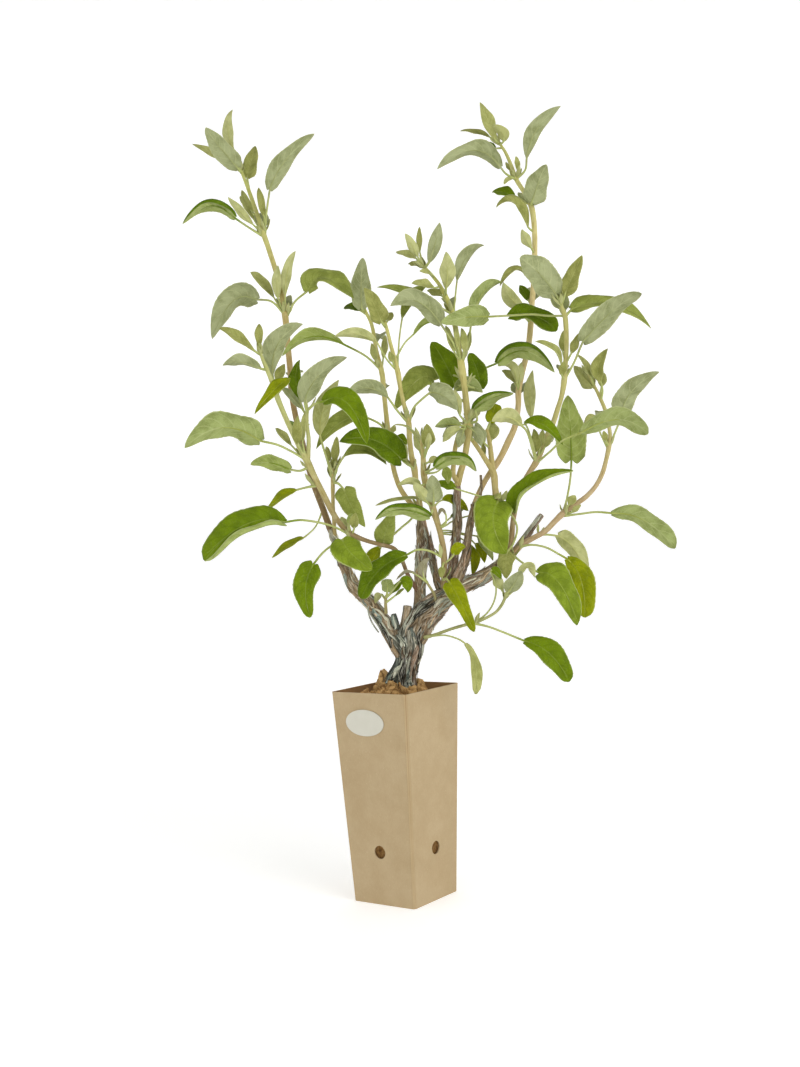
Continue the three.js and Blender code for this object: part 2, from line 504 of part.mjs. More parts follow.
      [[[73, 552, -9], [65, 557, -14], [56, 563, -18]], [[30, 576, -23], [3, 583, -31]], 14, 45, 25],
      [[[81, 486, -9], [76, 484, 0], [72, 485, 8]], [[64, 507, 13], [52, 527, 15]], 27, 80, 15],
      [[[82, 484, -9], [90, 481, 1], [96, 481, 8]], [[94, 499, 12], [87, 514, 14]], 18, 80, 15],
      [[[79, 491, -9], [66, 495, 19], [52, 491, 21]], [[34, 494, 17], [14, 465, 11]], 24, 60, 15],
      [[[81, 468, -8], [75, 472, -1], [71, 479, 1]], [[84, 487, 1], [98, 476, 0]], 13, -70, 15],
      [[[83, 448, -4], [91, 450, -13], [90, 461, -19]], [[106, 472, -26], [127, 474, -35]], 19, -55, 18],
      [[[81, 445, -4], [76, 446, -12]], [[63, 449, -19], [50, 447, -24]], 12, -50, 20],
      [[[81, 443, -4], [75, 443, -15]], [[66, 441, -23], [57, 431, -28]], 8, -60, 20],
      [[[82, 486, -9], [92, 493, 12], [101, 499, 18], [114, 504, 18]],
        [[142, 519, 13], [168, 491, 7]], 19, -55, 18],
      [[[83, 446, -4], [85, 452, 14]], [[90, 459, 39], [94, 456, 66]], 18, 10, 20],
      [[[78, 514, -9], [79, 519, 11]], [[78, 524, 37], [75, 519, 63]], 15, 10, 20],
      [[[73, 551, -9], [73, 557, 11]], [[70, 566, 37], [68, 562, 63]], 15, 10, 20],
    ],
  },
  shoot_centre_right: {
    stems: [
      [[110, 316, 5, 2.6], [109, 337, 4, 2.6], [107, 353, 5, 2.8], [106, 371, 5, 3.5], [105, 385, 6, 3.1],
        [104, 400, 8, 3.2], [97, 413, 8, 2.4], [90, 425, 9, 2.2], [83, 436, 9, 1.8]],
      [[104, 399, 8, 2.6], [103, 413, 10, 2.5], [102, 428, 13, 2.2], [100, 441, 16, 1.6]],
    ],
    leaves: [
      [[[86, 431, 9], [85, 434, 7]], [[83, 441, 15], [85, 451, 24]], 13, -70, 20],
      [[[101, 424, 12], [97, 428, 6]], [[93, 438, 5], [90, 449, 5]], 12, -75, 20],
      [[[102, 427, 13], [104, 431, 19]], [[107, 439, 24], [105, 449, 29]], 9, 70, 20],
      [[[100, 440, 16], [103, 447, 26]], [[107, 457, 34], [110, 466, 41]], 15, 75, 20, "oval"],
      [[[106, 371, 5], [107, 372, -6]], [[97, 348, -26], [114, 320, -24]], 32, 78, 12],
      [[[107, 372, 6], [117, 362, -4], [124, 347, -10], [120, 332, -9], [113, 323, -7]],
        [[111, 311, -5], [111, 298, -4]], 17, 80, 15],
      [[[105, 372, 4], [90, 378, -7], [68, 386, -10]], [[58, 391, -12], [46, 391, -14]], 11, 60, 20],
      [[[107, 348, 5], [105, 352, 26]], [[101, 352, 52], [97, 346, 77]], 19, 10, 20],
    ],
  },
  shoot_right_tall: {
    stems: [
      [[85, 371, 3, 2.8], [91, 384, 11, 2.6], [99, 397, 17, 2.6], [107, 407, 20, 2.9], [113, 416, 23, 2.8],
        [119, 427, 25, 3.1], [127, 443, 29, 2.9], [131, 462, 34, 2.7], [132, 476, 36, 2.9],
        [136, 492, 40, 2.8], [140, 505, 43, 2.8], [144, 520, 47, 2.8], [147, 540, 53, 2.9],
        [149, 558, 58, 2.8], [152, 580, 64, 2.8], [154, 605, 72, 2.8], [155, 630, 80, 2.7],
        [153, 651, 87, 2.9], [147, 664, 91, 2.4], [140, 677, 96, 2.4], [136, 690, 101, 1.9],
        [131, 703, 105, 1.6], [125, 713, 109, 1.3]],
    ],
    leaves: [
      [[[154, 626, 79], [149, 631, 74]], [[138, 657, 76], [119, 652, 69]], 9, 40, 30],
      [[[153, 650, 87], [154, 655, 79]], [[161, 673, 74], [168, 690, 69]], 26, -75, 20],
      [[[152, 652, 87], [138, 660, 99]], [[127, 666, 106], [116, 667, 111]], 15, 60, 20],
      [[[140, 677, 96], [131, 682, 91], [125, 690, 86]], [[101, 710, 82], [64, 690, 64]], 16, -45, 25],
      [[[140, 677, 96], [149, 685, 91], [151, 696, 88]], [[160, 725, 88], [186, 744, 81]], 14, -60, 25],
      [[[126, 711, 109], [122, 715, 105]], [[116, 734, 106], [110, 752, 107]], 14, 70, 20],
      [[[125, 711, 109], [117, 718, 116]], [[104, 724, 123], [89, 726, 129]], 7, 50, 20],
      [[[126, 710, 108], [130, 713, 103]], [[130, 722, 101], [120, 730, 99]], 12, -60, 25],
      [[[128, 707, 107], [122, 707, 115]], [[116, 710, 120], [109, 713, 125]], 10, 60, 20],
      [[[154, 605, 72], [151, 611, 67]], [[146, 620, 64], [143, 629, 63]], 9, -60, 25],
      [[[152, 578, 64], [146, 584, 58]], [[133, 592, 55], [119, 577, 46]], 7, 30, 30],
      [[[148, 552, 57], [142, 553, 48]], [[128, 563, 44], [123, 580, 41]], 14, -65, 20],
      [[[149, 556, 58], [146, 561, 67]], [[143, 569, 74], [138, 577, 80]], 9, 70, 20],
      [[[132, 476, 36], [131, 483, 28]], [[128, 501, 27], [113, 502, 22]], 6, -40, 20],
      [[[132, 476, 36], [129, 484, 46]], [[125, 492, 51], [117, 497, 56]], 7, 60, 20],
      [[[132, 477, 36], [133, 484, 30]], [[134, 493, 29], [136, 503, 30]], 8, -70, 20],
      [[[128, 445, 29], [137, 444, 40], [143, 450, 43]], [[142, 473, 50], [146, 495, 52]], 12, -70, 15],
      [[[147, 540, 53], [138, 548, 46], [127, 547, 38]],
        [[149, 550, 34], [172, 533, 25]], 20, 55, 20, "oval"],
      [[[132, 470, 35], [132, 474, 55]], [[134, 482, 80], [138, 478, 103]], 17, 10, 20],
      [[[149, 556, 58], [150, 562, 79]], [[152, 572, 104], [156, 568, 129]], 18, 10, 20],
      [[[153, 650, 87], [150, 655, 108]], [[147, 663, 133], [148, 658, 158]], 17, 10, 20],
    ],
  },
  shoot_right_middle: {
    stems: [
      [[113, 317, 6, 2.6], [118, 336, 10, 2.6], [120, 350, 10, 2.5], [123, 364, 11, 2.6],
        [127, 377, 10, 2.4], [133, 390, 8, 2.4], [139, 399, 6, 2.5], [145, 407, 4, 3.1],
        [151, 419, 1, 2.8], [157, 432, -2, 2.6], [163, 443, -5, 2.4], [168, 456, -8, 2.4],
        [173, 470, -12, 2.3], [176, 484, -16, 2.7], [178, 500, -20, 2.3], [180, 520, -25, 2.1],
        [180, 543, -31, 2.4], [178, 551, -34, 1.8], [176, 559, -38, 1.4]],
    ],
    leaves: [
      [[[122, 362, 11], [121, 362, -1]], [[138, 388, -17], [180, 399, -31]], 20, 55, 30],
      [[[145, 407, 4], [142, 422, -10], [138, 437, -22], [133, 443, -27]],
        [[121, 454, -34], [104, 449, -38]], 15, -50, 15],
      [[[146, 409, 3], [143, 425, -13], [139, 440, -20], [136, 446, -21]],
        [[156, 444, -24], [172, 423, -26]], 12, 60, 20],
      [[[146, 407, 4], [158, 416, -12], [172, 427, -27], [191, 434, -36]],
        [[225, 448, -49], [256, 431, -56]], 19, -50, 15, "oval"],
      [[[145, 408, 3], [144, 416, -4]], [[146, 427, -11], [145, 439, -17]], 9, 70, 20],
      [[[180, 545, -31], [163, 546, 0], [148, 548, 7], [130, 548, -1], [106, 548, -22]],
        [[85, 550, -29], [61, 544, -31]], 20, -70, 15],
      [[[177, 555, -36], [172, 566, -44]], [[156, 591, -60], [137, 603, -74]], 27, -75, 15],
      [[[177, 556, -36], [181, 566, -38]], [[189, 583, -45], [198, 600, -55]], 18, 75, 25],
      [[[177, 490, -17], [174, 500, -27]], [[167, 515, -35], [151, 523, -42]], 11, 40, 25],
      [[[179, 501, -20], [184, 509, -27]], [[188, 518, -31], [192, 527, -36]], 7, 70, 20],
      [[[177, 486, -16], [186, 500, -25], [196, 520, -39]], [[226, 550, -56], [254, 566, -70]], 22, -60, 20],
      [[[180, 544, -31], [187, 551, -26]], [[226, 557, -24], [263, 530, -20]], 18, 50, 18],
      [[[176, 484, -16], [174, 489, -23]], [[175, 495, -27], [177, 502, -30]], 7, 70, 20],
      [[[176, 484, -16], [175, 490, 3]], [[175, 497, 25], [175, 493, 45]], 13, 10, 20],
      [[[151, 419, 1], [153, 424, 19]], [[157, 432, 40], [161, 427, 64]], 18, 10, 20],
      [[[180, 543, -31], [178, 552, -10]], [[172, 566, 10], [168, 562, 37]], 18, 10, 20],
    ],
  },
  shoot_right_low: {
    stems: [
      [[115, 317, 3, 2.6], [127, 329, 0, 2.6], [138, 335, 0, 2.6], [150, 341, -1, 2.6],
        [160, 350, 0, 2.6], [168, 357, 1, 3.1], [180, 365, 1, 2.4], [191, 372, 0, 2.3],
        [201, 382, 1, 2.2], [208, 394, 1, 2.2], [212, 406, 2, 2.1], [215, 417, 2, 2.4],
        [217, 428, 5, 1.9], [216, 440, 9, 1.8], [214, 452, 13, 2], [209, 466, 16, 1.7],
        [203, 480, 20, 1.4], [199, 490, 22, 1.2]],
    ],
    leaves: [
      [[[124, 327, 0], [136, 329, -5], [150, 326, -9], [162, 319, -13], [171, 313, -14]],
        [[186, 292, -17], [184, 256, -15]], 20, 80, 15, "oval"],
      [[[143, 338, 0], [152, 338, 8], [163, 336, 13]], [[181, 322, 18], [189, 290, 21]], 17, -60, 20],
      [[[119, 320, 0], [128, 312, -13], [143, 302, -26]], [[165, 292, -39], [178, 250, -44]], 25, 65, 15],
      [[[168, 357, 1], [173, 372, 17], [177, 390, 29], [179, 408, 38]],
        [[180, 438, 47], [178, 469, 52]], 31, -85, 10],
      [[[170, 355, 1], [185, 356, -11], [200, 357, -17], [216, 355, -23]],
        [[247, 350, -31], [275, 319, -41]], 16, -62, 18, "oval"],
      [[[170, 358, 1], [174, 365, -5]], [[178, 370, -7], [181, 374, -8]], 8, 60, 20],
      [[[215, 417, 2], [221, 430, 12], [226, 441, 19], [229, 450, 21]],
        [[238, 472, 19], [265, 490, 14]], 22, -60, 20],
      [[[214, 417, 2], [208, 431, 11], [206, 438, 13]], [[200, 446, 16], [192, 440, 18]], 9, 60, 20],
      [[[210, 463, 16], [212, 472, 10], [211, 480, 7]], [[206, 495, 6], [219, 512, 3]], 12, 60, 30],
      [[[205, 475, 19], [202, 477, 23]], [[194, 487, 24], [186, 497, 24]], 16, -60, 20],
      [[[204, 477, 19], [202, 485, 13]], [[198, 497, 12], [190, 508, 10]], 6, 40, 25],
      [[[209, 466, 16], [211, 476, 26]], [[212, 484, 30], [209, 491, 34]], 9, 70, 20],
      [[[214, 450, 13], [213, 452, 34]], [[210, 450, 59], [206, 445, 82]], 16, 10, 20],
    ],
  },
  shoot_low_right: {
    stems: [
      [[30, 246, -9, 1.9], [40, 248, -13, 1.6], [57, 253, -17, 1.5], [70, 256, -19, 1.6],
        [80, 258, -20, 1.7],
        [91, 262, -20, 1.4], [100, 267, -20, 1.4], [106, 274, -20, 1.5], [110, 282, -21, 1.5]],
    ],
    leaves: [
      [[[78, 257, -20], [92, 253, -24], [108, 246, -27], [127, 237, -31]],
        [[151, 226, -38], [167, 197, -46]], 20, 60, 20, "oval"],
      [[[36, 247, -11], [50, 247, -23], [62, 243, -29], [69, 238, -32]],
        [[79, 219, -36], [77, 189, -36]], 11, 60, 15, "oval", 20],
      [[[110, 281, -21], [106, 288, -17]], [[103, 296, -15], [99, 304, -14]], 9, -70, 20],
      [[[110, 282, -21], [113, 286, -30]], [[120, 295, -38], [126, 304, -47]], 17, -65, 20],
      [[[110, 282, -21], [119, 295, -32], [124, 300, -41]], [[132, 309, -45], [139, 298, -43]], 9, -30, 25],
      [[[79, 258, -20], [90, 265, -16], [98, 276, -14], [101, 290, -14], [97, 306, -18]],
        [[102, 306, -19], [107, 298, -18]], 7, 60, 20],
    ],
  },
  shoot_low_left: {
    stems: [[[-5, 271, -8, 1.6], [-5, 281, -12, 1.4], [-4, 288, -14, 1.3]]],
    leaves: [
      [[[-4, 286, -14], [-3, 291, -17]], [[-2, 297, -21], [-3, 304, -23]], 12, -70, 15, "oval"],
      [[[-5, 284, -12], [-8, 289, -7]], [[-12, 288, -4], [-15, 281, -2]], 6, -40, 20],
      [[[-4, 286, -14], [2, 292, -18], [9, 300, -24]], [[17, 300, -26], [17, 289, -24]], 9, 60, 20],
      [[[-4, 286, -14], [1, 290, -10]], [[7, 296, -10], [13, 303, -11]], 6, 50, 20],
    ],
  },
  shoot_low_centre: {
    stems: [[[43, 279, -5, 1.4], [42, 286, -10, 1.3], [39, 292, -12, 1.2], [35, 299, -14, 1.2]]],
    leaves: [
      [[[36, 298, -14], [33, 303, -15]], [[31, 314, -17], [39, 322, -18]], 6, -60, 20],
    ],
  },
};

function shoot({ stems, leaves }, clear) {
  const pieces = stems.map((points) => limb(points, stemSides));
  return oneBody(wasm.Manifold.union([...pieces, ...leaves.map(leaf)]).subtract(clear));
}

const potColour = 0xbaa37e;
const soilColour = 0x8b6a42;
const barkColour = 0x8d7a66;
const labelColour = 0xd8d6c4;
const leafColour = 0x8f9f52;

const plant = new THREE.Group();

function add(name, solid, color, roughness) {
  const material = new THREE.MeshStandardMaterial({ color, roughness, metalness: 0 });
  const mesh = new THREE.Mesh(geometryOf(solid), material);
  mesh.name = name;
  plant.add(mesh);
}

add("pot", pot(), potColour, 0.85);
add("label", label(), labelColour, 0.7);
add("soil", soil(trunk(seatGap)), soilColour, 1);
add("trunk", trunk(), barkColour, 0.9);
const clearOfWood = trunk(seatGap);
for (const [name, parts] of Object.entries(shoots)) add(name, shoot(parts, clearOfWood), leafColour, 0.8);

export default plant;
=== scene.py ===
# Potted phlomis: felted leafy shoots on a peeling forked trunk, in a square kraft carton pot
import math
import random

import bmesh
import bpy
from mathutils import Matrix, Vector, noise


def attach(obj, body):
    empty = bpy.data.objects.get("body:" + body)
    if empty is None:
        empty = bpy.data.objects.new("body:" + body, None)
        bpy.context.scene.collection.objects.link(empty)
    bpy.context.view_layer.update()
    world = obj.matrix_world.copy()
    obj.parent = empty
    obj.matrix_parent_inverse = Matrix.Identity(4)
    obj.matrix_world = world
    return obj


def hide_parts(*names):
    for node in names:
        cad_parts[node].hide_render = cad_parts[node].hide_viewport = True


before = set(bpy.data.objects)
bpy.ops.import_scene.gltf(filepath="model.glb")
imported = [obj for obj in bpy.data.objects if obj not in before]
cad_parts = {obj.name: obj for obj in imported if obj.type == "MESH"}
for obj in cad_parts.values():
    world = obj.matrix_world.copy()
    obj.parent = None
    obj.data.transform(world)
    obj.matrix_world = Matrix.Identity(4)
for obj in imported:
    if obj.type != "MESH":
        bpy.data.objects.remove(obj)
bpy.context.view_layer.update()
print("frame loaded:", len(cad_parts), "nodes")

mm = 0.001


def once(items):  # each item a single time, in the order met: a set of mesh parts has a new order each run
    return list(dict.fromkeys(items))


# Where the eye stands, and how places on the plant are read from it: x to the right and z up on
# the upright plane through the pot's middle, then the depth behind that plane, in millimetres
viewSettings = {
    "distance": 1335,
    "height": 365,
    "side": 12.2,
    "turn": 36.1,
    "pitch": 0.8,
    "roll": 3.0,
    "lens": 47.24,
}
turnRound = Matrix.Rotation(math.radians(viewSettings["turn"]), 3, "Z")


def seen(place):
    x, z, depth = place[:3]
    spread = 1 + depth / viewSettings["distance"]
    side, height = viewSettings["side"], viewSettings["height"]
    flat = Vector((side + (x - side) * spread, depth, height + (z - height) * spread))
    return turnRound @ flat * mm


# Shader maths


class Wire:  # a shader socket that arithmetic can be written on
    def __init__(self, finish, socket):
        self.finish = finish
        self.socket = socket

    def __add__(self, other):
        return self.finish.maths("ADD", self, other)

    def __sub__(self, other):
        return self.finish.maths("SUBTRACT", self, other)

    def __rsub__(self, other):
        return self.finish.maths("SUBTRACT", other, self)

    def __mul__(self, other):
        return self.finish.maths("MULTIPLY", self, other)

    __radd__ = __add__
    __rmul__ = __mul__


class Finish:  # a material, with one method for any node and a few for the usual ones
    def __init__(self, name, constants):
        self.material = bpy.data.materials.new(name)
        self.material.use_nodes = True
        self.tree = self.material.node_tree
        self.shader = self.tree.nodes["Principled BSDF"]
        for socket, value in constants.items():
            self.shader.inputs[socket].default_value = value

    def add(self, kind, settings=None, inputs=None, output=0):
        node = self.tree.nodes.new(kind)
        for key, value in (settings or {}).items():
            setattr(node, key, value)
        for socket, value in (inputs or {}).items():
            if isinstance(value, Wire):
                self.tree.links.new(value.socket, node.inputs[socket])
            else:
                node.inputs[socket].default_value = value
        return Wire(self, node.outputs[output])

    def maths(self, operation, first, second=0.0):
        return self.add("ShaderNodeMath", {"operation": operation}, {0: first, 1: second})

    def smooth(self, value, low, high):  # 0 below low, 1 above high
        inputs = {"Value": value, "From Min": low, "From Max": high}
        return self.add("ShaderNodeMapRange", {"interpolation_type": "SMOOTHSTEP"}, inputs)

    def mix(self, share, first, second, blend="MIX"):
        settings = {"data_type": "RGBA", "blend_type": blend}
        return self.add("ShaderNodeMix", settings, {0: share, 6: first, 7: second}, 2)

    def spot(self):  # object coordinates
        return self.add("ShaderNodeTexCoord", output=3)

    def place(self, scale=(1, 1, 1)):
        return self.add("ShaderNodeMapping", None, {"Vector": self.spot(), "Scale": scale})

    def grain(self, scale, detail=3, roughness=0.55, stretch=(1, 1, 1)):
        inputs = {"Vector": self.place(stretch), "Scale": scale, "Detail": detail, "Roughness": roughness}
        return self.add("ShaderNodeTexNoise", None, inputs)

    def streaks(self, along, scale, detail):  # noise drawn out along a limb, by its own grain
        inputs = {"Vector": along, "Scale": scale, "Detail": detail}
        return self.add("ShaderNodeTexNoise", None, inputs)

    def cells(self, scale):
        inputs = {"Vector": self.place(), "Scale": scale}
        return self.add("ShaderNodeTexVoronoi", {"feature": "DISTANCE_TO_EDGE"}, inputs)

    def attribute(self, name, output=0):
        return self.add("ShaderNodeAttribute", {"attribute_name": name}, None, output)

    def parts(self, colour):
        node = self.tree.nodes.new("ShaderNodeSeparateColor")
        self.tree.links.new(colour.socket, node.inputs[0])
        return [Wire(self, output) for output in node.outputs]

    def feed(self, socket, wire):
        self.tree.links.new(wire.socket, self.shader.inputs[socket])

    def bump(self, height, strength, depth):
        inputs = {"Height": height, "Strength": strength, "Distance": depth}
        self.feed("Normal", self.add("ShaderNodeBump", None, inputs))


def paint(red, green, blue, share=1.0):  # a screen colour of 0 to 255 as a linear one
    def linear(value):
        value /= 255
        return value / 12.92 if value <= 0.04045 else ((value + 0.055) / 1.055) ** 2.4

    return (linear(red), linear(green), linear(blue), share)


# Meshes


def throughPoints(points, spacing):  # a smooth run through rows of numbers, with a row each spacing
    rows = []
    last = len(points) - 1
    for i in range(last):
        before, here = points[max(i - 1, 0)], points[i]
        there, after = points[i + 1], points[min(i + 2, last)]
        length = (Vector(there[:3]) - Vector(here[:3])).length
        steps = max(2, round(length / spacing))
        for step in range(steps):
            t = step / steps
            row = []
            for a, b, c, d in zip(before, here, there, after):
                bend = (2 * a - 5 * b + 4 * c - d) * t * t + (3 * b - a - 3 * c + d) * t**3
                row.append(b + 0.5 * ((c - a) * t + bend))
            rows.append(row)
    return rows + [list(points[last])]


def framesAlong(rows):  # places with a steady pair of sideways directions, free of twist
    places = [Vector(row[:3]) for row in rows]
    frames = []
    side = None
    for i, place in enumerate(places):
        along = (places[min(i + 1, len(places) - 1)] - places[max(i - 1, 0)]).normalized()
        if side is None:
            side = along.orthogonal()
        side = (side - along * side.dot(along)).normalized()
        frames.append((place, along, side, along.cross(side), rows[i][3]))
    return frames


def makeTube(bm, frames, sides, shape=None):  # a closed tube whose rings are laid on the frames
    made = bmesh.ops.create_cone(bm, cap_ends=True, segments=sides, radius1=1, radius2=1, depth=1)
    lengthwise = once(edge for vert in made["verts"] for edge in vert.link_edges)
    lengthwise = [e for e in lengthwise if abs(e.verts[0].co.z - e.verts[1].co.z) > 0.5]
    cut = bmesh.ops.subdivide_edges(bm, edges=lengthwise, cuts=max(1, len(frames) - 2))
    inner = [item for item in cut["geom_inner"] if isinstance(item, bmesh.types.BMEdge)]
    ringed = once(edge for part in inner for vert in part.verts for edge in vert.link_edges)
    verts = once(vert for edge in ringed for vert in edge.verts)
    steps = len(frames) - 1
    rings = []
    for vert in verts:
        step = round((vert.co.z + 0.5) * steps)
        angle = math.atan2(vert.co.y, vert.co.x)
        place, along, side, across, radius = frames[step]
        reach = radius * (shape(angle, step / steps) if shape else 1)
        vert.co = place + side * math.cos(angle) * reach + across * math.sin(angle) * reach
        rings.append((vert, step / steps, angle))
    return rings


def runLength(rows):
    return sum((Vector(b[:3]) - Vector(a[:3])).length for a, b in zip(rows, rows[1:]))


def grainAt(angle, radius, run):  # where a point lies on a tube, squeezed lengthwise for long streaks
    return Vector((math.cos(angle) * radius, math.sin(angle) * radius, run * 0.14))


def mixTone(first, second, share):
    return tuple(a + (b - a) * share for a, b in zip(first, second))


def joined(parts):  # one bmesh from several, as operators slow down on a large one
    whole = bmesh.new()
    for part in parts:
        mesh = bpy.data.meshes.new("part")
        part.to_mesh(mesh)
        part.free()
        whole.from_mesh(mesh)
        bpy.data.meshes.remove(mesh)
    return whole


def finishMesh(bm, name, materials, nodes, body="root"):
    ordered = sorted(bm.faces, key=lambda face: tuple(face.calc_center_median()))
    order = {face: i for i, face in enumerate(ordered)}
    bm.faces.sort(key=order.get)  # as extrusion leaves faces in a new order each run
    mesh = bpy.data.meshes.new(name)
    bm.to_mesh(mesh)
    bm.free()
    mesh.shade_smooth()
    for finish in materials:
        mesh.materials.append(finish.material)
    piece = bpy.data.objects.new(name, mesh)
    bpy.context.scene.collection.objects.link(piece)
    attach(piece, body)
    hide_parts(*nodes)
    print(name, "made:", len(mesh.polygons), "faces")


# Leaf finish: the tone of each leaf is in the mesh, felt, veins and mottling are in the shader, with a pale
# margin that is partly a painted sheen of the felt

leafTones = {  # upper side, underside
    "felt": (paint(150, 156, 106), paint(160, 166, 122)),
    "pale": (paint(180, 182, 114), paint(188, 190, 130)),
    "olive": (paint(162, 164, 94), paint(174, 176, 112)),
    "soft": (paint(148, 158, 76), paint(156, 168, 102)),
    "fresh": (paint(134, 154, 40), paint(160, 174, 92)),
    "green": (paint(112, 136, 6), paint(160, 174, 92)),
    "greenCurled": (paint(112, 136, 6), paint(164, 178, 100)),
    "dark": (paint(98, 122, 0), paint(156, 170, 86)),
    "lime": (paint(144, 154, 2), paint(164, 172, 60)),
    "twoTone": (paint(96, 122, 8), paint(164, 176, 104)),
    "dry": (paint(154, 146, 118), paint(166, 158, 134)),
}


def makeLeafFinish():
    felt = {"Roughness": 0.6, "Sheen Weight": 0.02, "Sheen Roughness": 0.5, "Specular IOR Level": 0.09}
    finish = Finish("felted leaf", felt)
    tone = finish.attribute("tone")
    side = finish.attribute("tone", 3)
    across, along, chance = finish.parts(finish.attribute("leafPlace"))
    fromRib = finish.maths("ABSOLUTE", across * 2 - 1)
    branch = finish.maths("FRACT", along * 7 - fromRib * 1.1 - fromRib * fromRib * 0.7 + chance)
    vein = 1 - finish.smooth(finish.maths("ABSOLUTE", branch - 0.5), 0.0, 0.13)
    rib = 1 - finish.smooth(fromRib, 0.015, 0.08)
    net = 1 - finish.smooth(finish.cells(620), 0.0, 0.2)
    mottle = finish.grain(90, 4)
    fine = finish.grain(700, 3)
    # a pale margin: the felt's own paler edge, and a painted sheen along it
    rim = finish.smooth(fromRib, 0.9, 0.985)
    darker = finish.mix(1.0, tone, paint(196, 200, 170), "MULTIPLY")
    lighter = finish.mix(0.4, tone, paint(222, 224, 172))
    base = finish.mix(finish.smooth(mottle, 0.38, 0.68) * 0.75, tone, darker)
    base = finish.mix(finish.smooth(fine, 0.5, 0.72) * 0.14, base, lighter)
    base = finish.mix((vein * 0.4 + net * 0.3) * (1 - side), base, darker)
    base = finish.mix((vein * 0.3 + net * 0.15) * side, base, lighter)
    base = finish.mix(rib * 0.12 + rib * side * 0.4, base, lighter)
    finish.feed("Base Color", finish.mix(rim * 0.9, base, lighter))
    lines = finish.maths("MAXIMUM", finish.maths("MAXIMUM", vein * 0.8, rib), net * 0.45)
    height = mottle * 0.3 + lines * (side * 2 - 1) * 0.9 + fine * 0.5
    finish.bump(height, 0.65, 0.5 * mm)
    return finish


def makeStemFinish():
    felt = {"Roughness": 0.7, "Sheen Weight": 0.03, "Sheen Roughness": 0.5, "Specular IOR Level": 0.15}
    finish = Finish("young stem", felt)
    tone = finish.attribute("tone")
    along = finish.attribute("grain", 1)
    streaks = finish.streaks(along, 900, 4)
    blotches = finish.grain(130, 3)
    darker = finish.mix(1.0, tone, paint(206, 194, 156), "MULTIPLY")
    lighter = finish.mix(0.35, tone, paint(222, 218, 172))
    base = finish.mix(finish.smooth(streaks, 0.45, 0.75) * 0.7, tone, darker)
    base = finish.mix(finish.smooth(blotches, 0.5, 0.7) * 0.5, base, lighter)
    finish.feed("Base Color", base)
    finish.bump(streaks + finish.grain(1600, 2) * 0.3, 0.4, 0.4 * mm)
    return finish


leafFinish = makeLeafFinish()
stemFinish = makeStemFinish()

# Leaves and stems: stems of x, z, depth and radius, then leaves of stalk points, the blade's middle
# and tip, its width, tilt, fold and tone, and for a few the outline and lean

